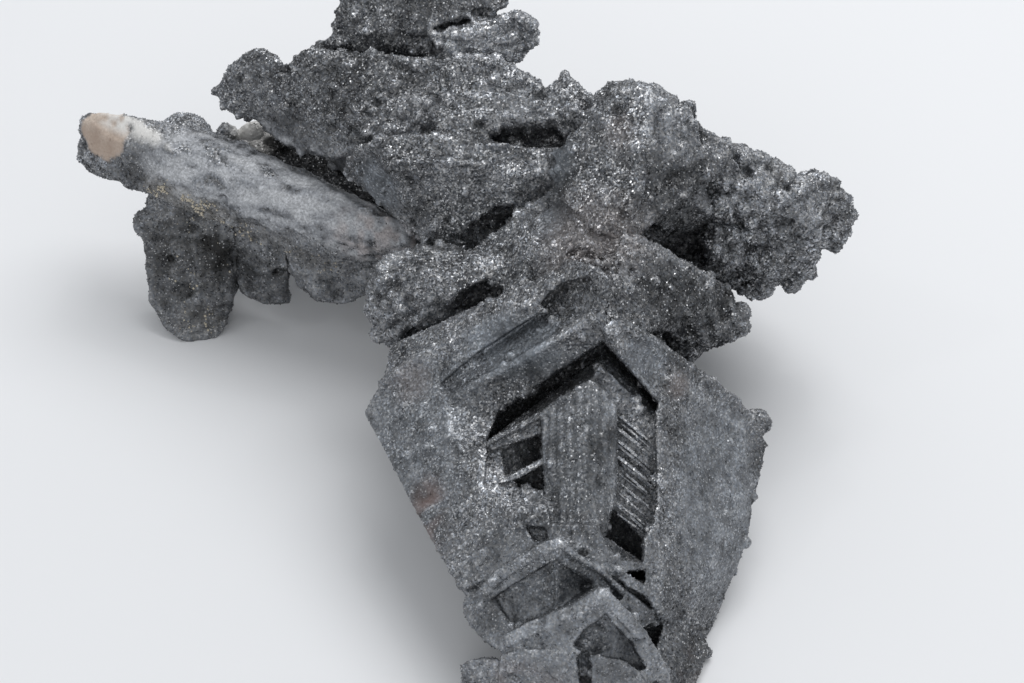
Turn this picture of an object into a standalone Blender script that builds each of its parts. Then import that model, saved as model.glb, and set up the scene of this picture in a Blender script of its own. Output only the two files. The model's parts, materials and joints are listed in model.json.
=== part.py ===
"""Hematite specimen: a cluster of stacked, skeletal octahedra grown together.

One solid.  A big hollow-faced octahedron leans out to the front, with smaller
octahedra stacked down its lowest edge.  A granular dome and two overlapping
slabs stand behind it, a wing of small rounded knobs runs out to the right, and
a bar with three hanging lobes runs out to the left.  It stands on four small
flats: the left lobe, the lower tip of the front crystal, the base of the front
stack and the base of the rear mass.

Points are laid out on a leaning drawing grid.  Grid columns run to the right,
rows run downwards and forwards, and sight lines fan out from one station point
in front of and above the grid.  P() places a point a given distance in front
of the grid, and Z() places it where its sight line crosses a given height.
"""

import math

import bmesh
import bpy
import numpy as np
from mathutils import Matrix, Vector

# Driving dimensions
STEP_MM = 0.19  # one step of the layout grid
STATION = 2418.0  # station point to grid, in steps
LEAN = math.radians(45.0)  # lean of the grid's sight line below the horizontal
GRID_MIDDLE = (512.0, 341.5)  # column and row of the grid's middle
GRID_HEIGHT_MM = 42.0  # height of the grid's middle over the base
ORIGIN_MM = (-12.08, 6.372)  # base centre of the finished solid, in layout millimetres
MM = 0.001  # layout millimetres to metres
FINE_BALL_MM = 2.7  # smaller knobs are plain icosahedra
NUDGE_MM = 0.03
COLOUR = (0.105, 0.11, 0.118, 1.0)

SIN, COS = math.sin(LEAN), math.cos(LEAN)
EYE = np.array([0.0, -STATION * STEP_MM * COS, GRID_HEIGHT_MM + STATION * STEP_MM * SIN])

steps = []


def P(column, row, depth):
    """The point on a grid sight line, `depth` steps in front of the grid."""
    near = 1.0 - depth / STATION
    u = (column - GRID_MIDDLE[0]) * near
    v = (GRID_MIDDLE[1] - row) * near
    return (STEP_MM * u, STEP_MM * (v * SIN - depth * COS), GRID_HEIGHT_MM + STEP_MM * (v * COS + depth * SIN))


def Z(column, row, height):
    """The point where a grid sight line crosses `height` millimetres."""
    v = GRID_MIDDLE[1] - row
    depth = ((height - GRID_HEIGHT_MM) / STEP_MM - COS * v) / (SIN - COS * v / STATION)
    return P(column, row, depth)


def push(point, distance):
    """A point moved along its sight line, away from the station point."""
    point = np.array(point, float)
    ray = point - EYE
    return tuple(point + ray / np.linalg.norm(ray) * distance * STEP_MM)


def plane(a, b, c):
    a, b, c = (np.array(q) for q in (a, b, c))
    normal = np.cross(b - a, c - a)
    normal /= np.linalg.norm(normal)
    return normal, float(normal @ a)


def on(face, column, row, lift=0.0):
    """The point where a grid sight line meets a crystal face, lifted off it."""
    ray = np.array(P(column, row, 0.0)) - EYE
    normal, offset = face
    return push(tuple(EYE + ray * (offset - normal @ EYE) / (normal @ ray)), -lift)


def add(*points, name):
    """Join the convex solid around these points."""
    steps.append(("UNION", "hull", points, name))


def cut(*points, name):
    """Take away the convex solid around these points."""
    steps.append(("DIFFERENCE", "hull", points, name))


def ball(centre, radii, name):
    steps.append(("UNION", "ball", (centre, radii), name))


def block(front, thickness, taper=0.85, name=""):
    """A slab of crystal: a front outline and its smaller copy further back."""
    back = [np.array(push(p, thickness)) for p in front]
    middle = np.mean(back, axis=0)
    add(*front, *[tuple(middle + (p - middle) * taper) for p in back], name=name)


def well(floor, flare=1.12, lift=200, name=""):
    """A hollow open towards the station point, down to this floor outline."""
    mouth = [np.array(push(p, -lift)) for p in floor]
    middle = np.mean(mouth, axis=0)
    cut(*floor, *[tuple(middle + (p - middle) * flare) for p in mouth], name=name)


def rim(line, width, depth, name=""):
    """A raised growth edge along a line, diamond-shaped across."""
    arms = [(width, 0, 0), (-width, 0, 0), (0, width * SIN, width * COS), (0, -width * SIN, -width * COS),
            (0, -depth * COS, depth * SIN), (0, depth * COS, -depth * SIN)]
    for number, ends in enumerate(zip(line[:-1], line[1:])):
        add(*[tuple(np.array(end) + STEP_MM * np.array(arm)) for end in ends for arm in arms], name=f"{name}_{number}")


def bar(front, thickness, name):
    """A straight-sided plate: its front outline, and the same outline further back."""
    add(*front, *[push(p, thickness) for p in front], name=name)


def band(line, width, thickness, name):
    """A flat strip that follows a line and faces the station point; `width` is half of it."""
    for number, (p, q) in enumerate(zip(line[:-1], line[1:])):
        p, q = np.array(p), np.array(q)
        along = (q - p) / np.linalg.norm(q - p)
        across = np.cross(along, (p + q) / 2 - EYE)
        across *= width * STEP_MM / np.linalg.norm(across)
        overlap = along * width * STEP_MM * 0.6
        front = [tuple(end + side * across) for end in (p - overlap, q + overlap) for side in (1, -1)]
        add(*front, *[push(corner, thickness) for corner in front], name=f"{name}_{number}")


def xtal(centre, radius, stretch, name):
    """An octahedron grown parallel to the front crystal."""
    centre = np.array(centre, float)
    corners = [centre + side * axis * radius * s for axis, s in zip((X1, X2, X3), stretch) for side in (1, -1)]
    add(*[tuple(corner) for corner in corners], name=name)


def octa(centre, top, left, right, axis, name):
    """An octahedron from three of its corners and half its depth."""
    centre, top, axis = np.array(centre), np.array(top), np.array(axis)
    add(tuple(top), left, right, tuple(2 * centre - top), tuple(centre + axis), tuple(centre - axis), name=name)


# hidden core that carries everything
add(Z(470,150,40),Z(600,110,60),Z(690,130,58),Z(720,200,40),Z(650,330,38),Z(560,330,40),Z(450,300,30),Z(420,200,30),
    (38,48,0),(14,52,0),(22,34,0),(45,40,10),(-5,60,20),(10,20,12),(30,70,30),(0,75,40),name='core')

# slab A (top block)
block([Z(330,44,63),Z(340,0,70),Z(350,-22,74),Z(385,-38,76),Z(455,-44,77),Z(498,-22,77),Z(512,-2,76),Z(506,12,74),Z(436,22,70),Z(430,58,62),Z(378,58,60),Z(352,46,62)],70,0.85,name='A1')
block([Z(426,60,63),Z(430,26,70),Z(470,22,71),Z(506,14,73),Z(520,16,74),Z(529,26,72),Z(529,44,68),Z(524,51,66),Z(512,56,65),Z(495,54,66),Z(470,60,64)],70,0.85,name='A2')
well([Z(430,26,66.5),Z(470,14,69.5),Z(506,10,69),Z(514,18,67.5),Z(474,25,66),Z(438,33,64)],1.0,lift=60,name='Agroove')
block([Z(314,50,60),Z(318,42,62),Z(330,38,64),Z(344,42,64),Z(326,55,60)],30,0.8,name='A3')
add(Z(360,52,60),Z(430,54,62),Z(500,52,63),Z(500,96,50),Z(360,96,50),push(Z(345,50,60),60),push(Z(500,52,63),60),push(Z(330,90,50),40),push(Z(500,96,50),60),name='neckAB')

# slab B
block([Z(213,92,50),Z(228,71,56),Z(243,55,60),Z(262,47,62),Z(277,54,61.5),Z(285,67,60),Z(284,90,55),Z(262,121,48),Z(246,119,47.5),Z(232,115,47),Z(222,105,48)],60,0.8,name='B1')
block([Z(262,128,46.5),Z(250,110,50),Z(284,72,59),Z(290,63,60),Z(302,51,64),Z(312,49,64.5),Z(330,55,65),Z(430,58,67),Z(480,62,69),Z(500,100,63),Z(500,136,57),Z(440,137,56),Z(372,139,54.5),Z(350,152,50),Z(335,160,48),Z(312,158,46),Z(298,151,45.5),Z(280,144,45)],75,0.85,name='B2')
block([Z(440,58,69.5),Z(470,57,70.5),Z(496,59,70.5),Z(512,66,70),Z(532,78,68),Z(545,88,67),Z(562,104,65),Z(556,122,61),Z(500,126,60),Z(440,112,62)],70,0.85,name='B3')
block([Z(430,92,64.5),Z(505,92,67),Z(548,100,67),Z(560,112,65),Z(548,121,62.5),Z(470,116,62.5)],30,0.9,name='B4')
block([Z(436,118,61),Z(500,116,62.5),Z(548,122,62.5),Z(560,126,61),Z(548,130,59),Z(470,136,57.5)],30,0.9,name='B5')

# slab C
block([Z(343,168,49),Z(360,150,55),Z(379,139,60),Z(400,165,54),Z(418,215,44),Z(436,240,41),Z(428,243,40),Z(398,222,42)],60,0.85,name='C1')
block([Z(379,139,60),Z(440,136,62),Z(500,140,63),Z(530,146,62),Z(552,148,61),Z(560,165,59),Z(470,172,57),Z(385,172,55)],75,0.85,name='C2')
block([Z(388,168,55),Z(470,168,58),Z(560,160,60),Z(572,185,57),Z(540,206,50),Z(520,222,47),Z(482,243,42),Z(440,240,42),Z(415,222,43)],75,0.85,name='C3')
well([Z(455,236,36),Z(482,214,42),Z(516,205,46),Z(516,224,40),Z(480,246,36)],1.0,name='Chollow')
# crevice between B and C
well([Z(498,138,50),Z(510,131,52),Z(535,128,52),Z(562,130,52),Z(566,138,52),Z(545,145,50),Z(515,143,50)],1.0,lift=100,name='crevBC')
rim([Z(386,163,57.6),Z(450,161,59.6),Z(505,165,58.8)],3.5,2.5,name='Cledge')

# D dome
block([Z(596,112,73),Z(612,92,79),Z(640,84,80.5),Z(658,97,78.4),Z(688,122,73.4),Z(712,143,69),Z(736,152,67),Z(724,172,64.5),Z(704,180,63),Z(655,181,66),Z(644,200,65),Z(640,238,61),Z(600,235,63),Z(558,200,63),Z(556,150,68)],150,0.8,name='D1')
rim([Z(652,100,78.6),Z(644,150,73.6),Z(629,228,63.4)],8,4,name='Dridge')
block([Z(547,150,63),Z(575,142,68),Z(600,150,68),Z(585,190,64),Z(552,195,58)],60,0.9,name='D4')
# facet under the dome's right rim, tilted back, over the hollow
add(Z(648,182,65.4),Z(704,180,63),Z(708,212,55),Z(694,227,52.5),Z(664,229,54.5),Z(645,213,60.5),push(Z(648,182,62),100),push(Z(704,180,60),100),push(Z(708,214,50),70),push(Z(664,228,50),70),name='D5')
block([Z(560,190,61),Z(600,190,65),Z(640,238,62),Z(620,262,60),Z(580,262,59),Z(545,262,53),Z(505,300,45),Z(470,318,42),Z(452,300,42),Z(500,236,50)],140,0.8,name='D2')
# steps between B and D
block([Z(543,104,66),Z(548,88,68.5),Z(562,75,70.5),Z(569,73,71),Z(594,100,70),Z(596,130,66),Z(560,130,62)],60,0.8,name='st1')
block([Z(592,99,70),Z(600,88,72.5),Z(610,81,74),Z(620,79,74.5),Z(638,80.5,76.5),Z(650,88,76),Z(662,98,75),Z(688,107,72.5),Z(698,112,71.5),Z(699,121,69.5),Z(690,128,68),Z(600,140,70)],70,0.8,name='st2')

# E right wing
block([Z(698,134,68),Z(712,143,66),Z(722,147,64.5),Z(745,151,63),Z(775,166,58.5),Z(805,184,53),Z(826,198,49),Z(834,215,46),Z(828,234,43),Z(802,246,40),Z(796,262,37),Z(770,274,33),Z(740,284,32),Z(715,278,34),Z(700,262,38),Z(694,240,44),Z(700,200,54)],110,0.75,name='E')
well([Z(664,241,43),Z(678,229,45),Z(698,226,45),Z(711,230,41),Z(710,244,37),Z(694,258,35),Z(674,255,39)],1.02,name='Ehollow')
EK=[(812,188,51,2.6),(822,190,50,2.1),(829,201,47.5,2.7),(840,213,43.5,2.3),(842,226,41.5,2.0),(834,234,41,2.5),(818,236,40.5,2.2),(804,252,37,2.4),(800,267,33.5,2.6),(794,277,31.5,1.9),(780,268,33,2.2),(768,276,31,1.9),(757,288,28.5,2.5),(746,284,30,2.6),(730,282,31,2.2)]
for i in range(27):
    u=(i*.618034)%1; v=(i*.381966*1.7+.31*math.sin(i*2.3))%1
    x=708+92*u; y=152+96*v+.36*(x-708)
    if y>272: y=272-(y-272)
    EK.append((x,y,50-.057*(x-760)-.225*(y-215)-.3,1.5+.9*((i*.7548)%1)))
for i,(x,y,z,r) in enumerate(EK):
    ball(Z(x,y,z),(r,r*.9,r*.9),name='e%d'%i)

# G2 lower right lobe
block([Z(600,262,60),Z(636,240,62),Z(660,247,60),Z(690,265,55),Z(722,284,49),Z(736,292,46),Z(726,306,43),Z(700,320,43),Z(668,330,46),Z(640,336,50),Z(606,316,56)],80,0.8,name='G2')
ball(Z(722,322,40),(3.6,3,3),name='g1'); ball(Z(705,328,38),(3.6,3,3.4),name='g2'); ball(Z(690,325,40),(4,3.4,4),name='g3'); ball(Z(733,318,41),(2.2,2,2),name='g4')
ball(Z(682,345,34),(3,3,4),name='g5'); ball(Z(684,356,31),(1.6,1.6,2.4),name='g6')

# F left bulge
ball(Z(408,285,40),(6.5,6,5.8),name='F1')
ball(Z(396,302,35),(4.8,5,5.5),name='F2')
ball(Z(398,322,31),(4.4,4,4),name='F3')
ball(Z(440,274,43),(8,6.5,5.5),name='F4')
ball(Z(438,300,37),(8,6,5),name='F5')
ball(Z(478,282,44),(8,6,6),name='F6')
block([Z(456,262,44),Z(480,244,47),Z(512,228,50),Z(535,216,54),Z(562,190,60),Z(600,205,63),Z(575,240,60),Z(545,262,54),Z(505,275,49),Z(480,285,45)],70,0.8,name='F7')
well([Z(458,290,37),Z(490,276,41),Z(508,286,40),Z(500,310,36),Z(478,314,34),Z(450,322,31),Z(440,318,32)],0.9,lift=80,name='Fhollow')

# N rod and lobes
add(Z(82,118,42),Z(90,112,43),Z(104,110,44.5),Z(128,116,45),Z(160,126,44),Z(128,188,30),Z(84,171,31),Z(78,160,32),
    Z(240,142,42),Z(300,172,41),Z(345,197,40),Z(400,221,39),Z(416,227,38),Z(418,246,35),Z(400,264,29),Z(330,262,27),Z(230,226,28),
    Z(112,140,41),Z(172,152,42.6),Z(192,183,38.4),Z(235,160,41.6),Z(240,192,37.0),Z(330,207,39),Z(345,234,35.2),Z(408,241,36.6),push(Z(160,126,43),55),push(Z(240,142,42),55),push(Z(345,197,40),55),push(Z(416,228,38),45),push(Z(92,120,40),50),name='rod')
block([Z(146,196,28),Z(140,230,22),Z(146,270,14),Z(150,300,8),Z(163,325,3),Z(180,340,0.5),Z(200,345,-1),Z(212,343,-1),Z(228,322,3),Z(238,285,9),Z(238,240,20),Z(232,214,27)],45,0.9,name='lobe1')
ball(Z(142,222,22),(2.2,2,3.4),name='lobe1b')
add(Z(150,176,36),Z(228,206,34),Z(146,200,26),Z(226,222,24),push(Z(150,176,36),30),push(Z(228,206,34),30),push(Z(160,215,22),25),push(Z(226,230,20),25),name='lobe1root')
block([Z(232,225,26),Z(236,270,14),Z(240,290,11),Z(258,301,9.5),Z(280,306,8.5),Z(291,303,9),Z(291,290,12),Z(286,262,18),Z(285,240,25)],40,0.85,name='lobe2')
add(Z(236,212,34),Z(380,250,33),Z(240,236,22),Z(375,268,22),push(Z(236,212,34),30),push(Z(380,250,33),30),push(Z(240,240,20),25),push(Z(375,272,20),25),name='lobe23root')
block([Z(285,245,26),Z(290,265,20),Z(300,290,14),Z(318,303,12),Z(345,305,12),Z(364,298,13),Z(378,280,17),Z(392,262,22),Z(400,245,27)],45,0.85,name='lobe3')
ball(Z(184,136,36),(5.5,4.5,4.0),name='rodknob')
ball(Z(228,136,34),(2.6,2.6,2.6),name='rodknob2')
add(Z(236,130,34),Z(246,121,36),Z(258,120,36),Z(265,128,35),Z(262,140,32),Z(240,140,32),push(Z(250,130,33),20),name='pale')
# web behind the gap, deep
add(Z(232,132,30),Z(262,124,32),Z(345,158,28),Z(430,213,22),Z(480,236,20),Z(480,262,18),Z(440,280,18),Z(330,250,18),Z(260,190,20),Z(225,150,22),
    push(Z(300,150,30),70),push(Z(345,158,28),90),push(Z(430,213,22),90),push(Z(440,280,18),40),push(Z(245,135,30),50),name='web')
# fill behind the wedge of A and the joint of B and C
add(Z(318,48,54),Z(345,44,57),Z(382,50,57),Z(382,66,54),Z(330,62,52),push(Z(318,48,54),50),push(Z(382,50,57),60),push(Z(350,62,50),50),name='wedge')
add(Z(326,150,44),Z(352,150,47),Z(366,160,46),Z(352,176,40),Z(330,166,38),push(Z(326,150,44),50),push(Z(366,160,46),60),push(Z(352,176,40),40),name='web2')

# front crystal, oct1
T=P(605,320,100);L=P(363,412,-33);Rr=P(765,449,-46)
T2=P(572,541,152);L2=P(458,590,86);R2=P(665,600,80)
O=np.array(P(563,421,-39))
B=tuple(2*O-np.array(T))
TL=plane(T,L,L2); TR=plane(T,P(764,448,-42),P(700,620,10))
add(T,L,Rr,B,T2,L2,R2,P(386,373,-45),P(752,520,-30),P(742,556,-20),P(715,602,-4),P(700,640,-8),P(560,640,10),P(690,683,-20),P(600,350,-120),P(735,400,-80),name='oct1')
# roof of front crystal up to the dome: outer rim R2
block([on(TL,384,380,-3),on(TL,390,346,-10),on(TL,440,328,0),on(TL,478,315,2),on(TL,515,306,4),on(TL,536,290,10),on(TL,556,270,16),on(TL,566,292,8),on(TL,562,350,-6),on(TL,500,386,-6),on(TL,440,408,-6),on(TL,395,405,-6)],60,0.9,name='roofTL')
block([on(TL,545,300,0),on(TL,565,258,10),on(TL,600,268,20),on(TL,612,280,25),on(TL,604,320,0),on(TL,560,350,-6)],60,0.9,name='roofT')
rim([on(TL,384,384,0),on(TL,417,360,4),on(TL,449,343,5),on(TL,476,330,5),on(TL,513,316,5),on(TL,532,304,6),Z(554,278,54.5),Z(570,248,60)],8,6,name='R2')
# terrace between R2 and R3
well([on(TL,440,385,-5),on(TL,478,352,-9),on(TL,516,329,-12),on(TL,538,314,-12),on(TL,548,322,-9),on(TL,590,312,-6),on(TL,545,340,-5),on(TL,500,367,-4),on(TL,450,390,-4)],1.02,lift=60,name='terrace')
well([on(TL,540,304,-14),on(TL,562,283,-10),on(TL,590,276,-2),on(TL,598,290,-4),on(TL,592,310,-8),on(TL,556,318,-14)],1.03,lift=80,name='valley2')
rim([on(TL,440,402,-1),on(TL,468,388,-1),on(TL,500,371,-1),on(TL,526,356,0),on(TL,560,338,1),on(TL,590,317,3),Z(599,300,58),Z(606,282,59.5),Z(620,256,61.5)],3.2,3.2,name='R3')
# face below R3 slopes in to the gap
well([on(TL,484,448,-16),on(TL,496,416,-24),on(TL,550,378,-24),on(TL,606,338,-20),on(TL,598,322,-1),on(TL,560,342,-1),on(TL,500,375,-1),on(TL,448,404,-1),on(TL,452,432,-1),on(TL,466,450,-1)],1.0,lift=80,name='R3face')
# the pocket: one wide recess, then the deep slits along its two upper sides
well([on(TL,486,442,-34),on(TL,499,412,-66),on(TL,604,341,-66),on(TL,600,364,-58),on(TL,590,382,-32),on(TL,545,409,-32),on(TL,520,428,-32),on(TL,500,436,-30)],1.0,lift=120,name='ledgeL')
well([on(TL,486,442,-90),on(TL,499,412,-110),on(TL,604,341,-110),on(TL,603,355,-110),on(TL,585,367,-110),on(TL,545,392,-110),on(TL,505,423,-100)],1.0,lift=160,name='gapL')
well([on(TR,600,362,-14),on(TR,613,368,-8),on(TR,655,413,-8),on(TR,657,436,-5),on(TR,630,424,-24),on(TR,604,386,-26),on(TR,590,380,-26)],1.0,lift=120,name='ledgeR')
well([on(TL,604,341,-110),on(TR,646,388,-110),on(TR,659,402,-110),on(TR,656,413,-110),on(TR,641,404,-110),on(TR,613,370,-110),on(TL,600,362,-110)],1.0,lift=160,name='gapR')
well([P(591,379,84),P(545,406,68),P(540,416,66),P(545,500,84),P(552,523,94),P(606,524,80),P(622,495,66),P(630,418,56),P(610,392,72)],1.0,lift=140,name='Jcut')
well([on(TL,487,446,-14),on(TL,520,430,-28),on(TL,552,412,-30),on(TL,552,500,-30),on(TL,532,508,-20),on(TL,505,502,-8),on(TL,484,486,-5)],1.0,lift=140,name='floorL')
well([on(TL,502,452,-26),on(TL,524,438,-48),on(TL,552,434,-90),on(TL,552,458,-90),on(TL,530,470,-56),on(TL,505,476,-26)],1.0,lift=100,name='cav1')
well([on(TL,514,478,-50),on(TL,552,463,-80),on(TL,552,492,-80),on(TL,534,491,-60),on(TL,518,488,-44)],1.0,lift=100,name='cav2')
well([on(TR,590,382,-30),on(TR,604,388,-28),on(TR,628,424,-23),on(TR,656,436,-5),on(TR,657,500,-5),on(TR,654,522,-6),on(TR,642,542,-12),on(TR,626,528,-26),on(TR,600,512,-42),on(TR,590,440,-42)],1.0,lift=160,name='floorR')
well([on(TR,596,518,-66),on(TR,614,510,-70),on(TR,631,527,-70),on(TR,643,540,-66),on(TR,643,562,-60),on(TR,620,560,-66),on(TR,606,546,-66)],1.0,lift=100,name='cav3')
# TR bar
block([on(TR,605,328,14),on(TR,613,320,14),on(TR,626,321,12),on(TR,650,336,9),on(TR,692,366,4),on(TR,740,402,-2),on(TR,764,446,-3),on(TR,720,430,-3),on(TR,662,404,2),on(TR,658,401,2),on(TR,640,380,4),on(TR,610,345,10)],50,0.95,name='TRbar')
well([on(TR,611,338,9),on(TR,626,330,9),on(TR,652,350,6),on(TR,672,372,3),on(TR,664,394,0),on(TR,648,384,1)],1.0,lift=60,name='TRpanel')
rim([on(TR,622,322,12),on(TR,652,340,9),on(TR,692,368,4),on(TR,735,400,0),on(TR,764,446,-2)],4,4,name='TRrim')
ball(P(757,419,-40),(2.2,2.0,2.0),name='trk1'); ball(P(763,425,-44),(1.5,1.5,1.5),name='trk2')
block([Z(664,622,12.5),Z(690,606,11),Z(704,630,6.5),Z(708,652,3.5),Z(700,668,2.5),Z(692,690,1.5),Z(660,700,5),Z(652,660,10)],70,0.9,name='tip')
# ridge J: the crystal's own edge, left standing in the pocket, with its crest worn flat
bar([P(591,381,94),P(568,392,90),P(546,407,80),P(541,416,78),P(546,434,85),P(546,500,102),P(552,523,110),P(563,524,120),P(577,525,124),P(591,524,118),P(606,523,98),
     P(558,450,95),P(574,450,102),P(590,450,100),P(603,450,90),P(601,388,90),P(611,398,82),P(618,413,76),P(618,437,77),P(613,455,79),P(613,474,80),P(617,492,83)],74,name='J')
# thin plates in the pocket
bar([on(TL,486,443,-5),on(TL,500,434,-9),on(TL,520,427,-12),on(TL,535,417,-14),on(TL,548,407,-18),on(TL,549,432,-18),on(TL,528,431,-14),on(TL,515,433,-12),on(TL,500,441,-9),on(TL,491,451,-6)],6,name='blade1')
add(on(TL,512,494,-8),on(TL,524,486,-10),on(TL,542,489,-12),on(TL,544,504,-8),on(TL,530,512,-4),on(TL,514,508,-4),push(on(TL,512,494,-8),20),push(on(TL,544,494,-10),20),push(on(TL,530,512,-4),20),name='pocklump')
bar([on(TR,590,527,-6),on(TR,600,534,-7),on(TR,610,546,-8),on(TR,620,558,-9),on(TR,647,566,-9),on(TR,647,571,-9),on(TR,618,566,-8),on(TR,606,552,-7),on(TR,596,540,-6)],16,name='blade3')

# chevron stack: hopper faced crystals, each with its flat rim
octa(P(548,582,62),P(531,514,126),P(455,566,84),P(640,566,74),np.array((0,-8,-2.0)),name='oct0')
octa(P(560,596,82),P(561,540,160),P(463,613,92),P(664,618,84),np.array((0,-14,-2.5)),name='oct2')
well([P(484,604,94),P(556,558,128),P(555,600,120),P(548,622,128),P(520,628,112),P(490,622,98)],1.02,lift=80,name='hop2L')
well([P(556,560,128),P(604,592,108),P(600,606,116),P(572,612,120),P(553,620,124)],1.02,lift=80,name='hop2R')
band([P(472,607,98),P(486,589,114),P(500,576,124),P(521,562,138),P(540,550,150),P(559,542,162)],5.2,44,name='rim2L')
band([P(559,543,164),P(580,559,150),P(601,571,136),P(622,592,122)],2.8,26,name='rim2R')
band([P(590,554,140),P(630,582,118),P(645,590,108),P(656,603,98),P(664,618,90)],4.4,40,name='rim2R2')
octa(P(598,640,116),P(602,592,182),P(505,644,118),P(666,676,112),np.array((0,-13,-2.5)),name='oct3')
band([P(508,640,124),P(531,628,138),P(557,617,154),P(576,610,166),P(602,594,185)],6.0,36,name='rim3L')
band([P(602,594,186),P(625,617,166),P(641,636,148),P(651,652,134),P(660,667,122),P(666,690,110)],5.8,36,name='rim3R')
well([P(604,612,158),P(632,645,128),P(646,668,116),P(630,676,120),P(600,655,146)],1.0,lift=60,name='hop3R')
well([P(583,630,150),P(603,616,156),P(607,650,142),P(590,656,136),P(573,646,138)],1.0,lift=60,name='hop3L')
block([P(461,666,88),P(470,661,94),P(484,658,100),P(498,658,104),P(503,676,106),P(498,710,92),P(468,712,78)],100,0.85,name='front0')
block([P(501,655,124),P(522,649,136),P(548,649,146),P(572,656,148),P(580,680,140),P(575,712,124),P(520,735,96),P(496,710,100)],130,0.85,name='front1')
block([P(588,664,150),P(604,657,164),P(622,660,160),P(638,670,148),P(650,690,136),P(640,750,104),P(592,750,108),P(583,690,136)],130,0.85,name='front2')
block([P(520,692,122),P(560,684,134),P(610,692,138),P(615,740,128),P(560,790,108),P(520,760,106)],110,0.85,name='front3')

# parallel crystals on the back and the underside
X1=np.array(T)-O; X1/=np.linalg.norm(X1)
X2=np.array(L)-O; X2-=X1*(X2@X1); X2/=np.linalg.norm(X2)
X3=np.cross(X1,X2)
for i,(c,r,st) in enumerate([
    ((31,62,27),16.5,(1,1,1)),((10,68,36),14.5,(1,.9,1.1)),((46,47,25),12.5,(1.1,1,.9)),((42,57,30),10,(1,1,1)),
    ((-10,68,50),12,(1,1.1,.9)),((20,73,34),10,(1,1,1)),((34,45,12),11.5,(1,1,.9)),((51,34,35),9,(.9,1,1)),
    ((-2,48,14),11.5,(1,1,1)),((30,8,20),11,(1,1,1)),((35,-9,26),9.5,(1,1,1)),((36,-24,11),8.5,(1,1,1)),
    ((14,-8,18),11.5,(1,.9,1)),((-8,14,30),10,(1,1,1)),((-24,70,55),9,(1,1,1)),((-38,58,52),8.5,(1,1,1)),((-8,70,47),8,(1,1,.9))]):
    xtal(c,r,st,name='x%d'%i)

# Ground flat below the resting plane
cut(*[(x, y, z) for x in (-200, 200) for y in (-200, 200) for z in (-60, 0)], name="base_plane")


# Build


def nudge(number):
    """A few hundredths of a millimetre, different for each piece, so that no two faces lie in one plane."""
    if steps[number][3] == "base_plane":
        return Vector()
    return Vector([math.sin(1.7 * number + 2.1 * axis) * NUDGE_MM for axis in range(3)])


def hull_mesh(name, points, number):
    bm = bmesh.new()
    for point in points:
        bm.verts.new((Vector(point) + nudge(number)) * MM)
    bmesh.ops.remove_doubles(bm, verts=bm.verts[:], dist=0.00002)
    made = bmesh.ops.convex_hull(bm, input=bm.verts[:], use_existing_faces=False)
    inner = {v for v in made["geom_interior"] + made["geom_unused"] if isinstance(v, bmesh.types.BMVert)}
    bmesh.ops.delete(bm, geom=list(inner), context="VERTS")
    bmesh.ops.recalc_face_normals(bm, faces=bm.faces[:])
    mesh = bpy.data.meshes.new(name)
    bm.to_mesh(mesh)
    bm.free()
    return mesh


def ball_mesh(name, centre, radii):
    bm = bmesh.new()
    bmesh.ops.create_icosphere(bm, subdivisions=2 if max(radii) > FINE_BALL_MM else 1, radius=1.0)
    size = Matrix.Diagonal((radii[0], radii[1], radii[2], 1.0))
    bm.transform(Matrix.Scale(MM, 4) @ Matrix.Translation(centre) @ size)
    mesh = bpy.data.meshes.new(name)
    bm.to_mesh(mesh)
    bm.free()
    return mesh


def combine(body, tool, operation):
    modifier = body.modifiers.new(tool.name, "BOOLEAN")
    modifier.operation = operation
    modifier.solver = "EXACT"
    modifier.object = tool
    bpy.context.view_layer.update()
    result = bpy.data.meshes.new_from_object(body.evaluated_get(bpy.context.evaluated_depsgraph_get()))
    body.modifiers.clear()
    old = body.data
    body.data = result
    bpy.data.meshes.remove(old)
    bpy.data.objects.remove(tool)


def largest_piece(bm):
    """Drops chips that a cut has left loose."""
    left, pieces = set(bm.faces), []
    while left:
        stack = [next(iter(left))]
        left.discard(stack[0])
        piece = []
        while stack:
            face = stack.pop()
            piece.append(face)
            for edge in face.edges:
                for other in edge.link_faces:
                    if other in left:
                        left.discard(other)
                        stack.append(other)
        pieces.append(piece)
    keep = set(max(pieces, key=lambda piece: sum(face.calc_area() for face in piece)))
    bmesh.ops.delete(bm, geom=[face for face in bm.faces if face not in keep], context="FACES")


def build():
    for item in list(bpy.data.objects):
        bpy.data.objects.remove(item)
    body = None
    for number, (operation, kind, shape, name) in enumerate(steps):
        mesh = hull_mesh(name, shape, number) if kind == "hull" else ball_mesh(name, *shape)
        tool = bpy.data.objects.new(name, mesh)
        bpy.context.scene.collection.objects.link(tool)
        if body is None:
            body = tool
            continue
        combine(body, tool, operation)
    bm = bmesh.new()
    bm.from_mesh(body.data)
    largest_piece(bm)
    bmesh.ops.triangulate(bm, faces=bm.faces[:])
    bmesh.ops.translate(bm, verts=bm.verts[:], vec=(-ORIGIN_MM[0] * MM, -ORIGIN_MM[1] * MM, 0.0))
    bm.to_mesh(body.data)
    bm.free()
    material = bpy.data.materials.new("hematite")
    material.use_nodes = True
    shader = material.node_tree.nodes["Principled BSDF"]
    shader.inputs["Base Color"].default_value = COLOUR
    shader.inputs["Metallic"].default_value = 0.75
    shader.inputs["Roughness"].default_value = 0.45
    body.data.materials.clear()
    body.data.materials.append(material)
    body.name = "hematite_cluster"
    body.data.name = "hematite_cluster"


build()
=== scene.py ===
"""Hematite specimen, finished: a granular, metallic cluster of skeletal octahedra."""
import json
import math
import time

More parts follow.
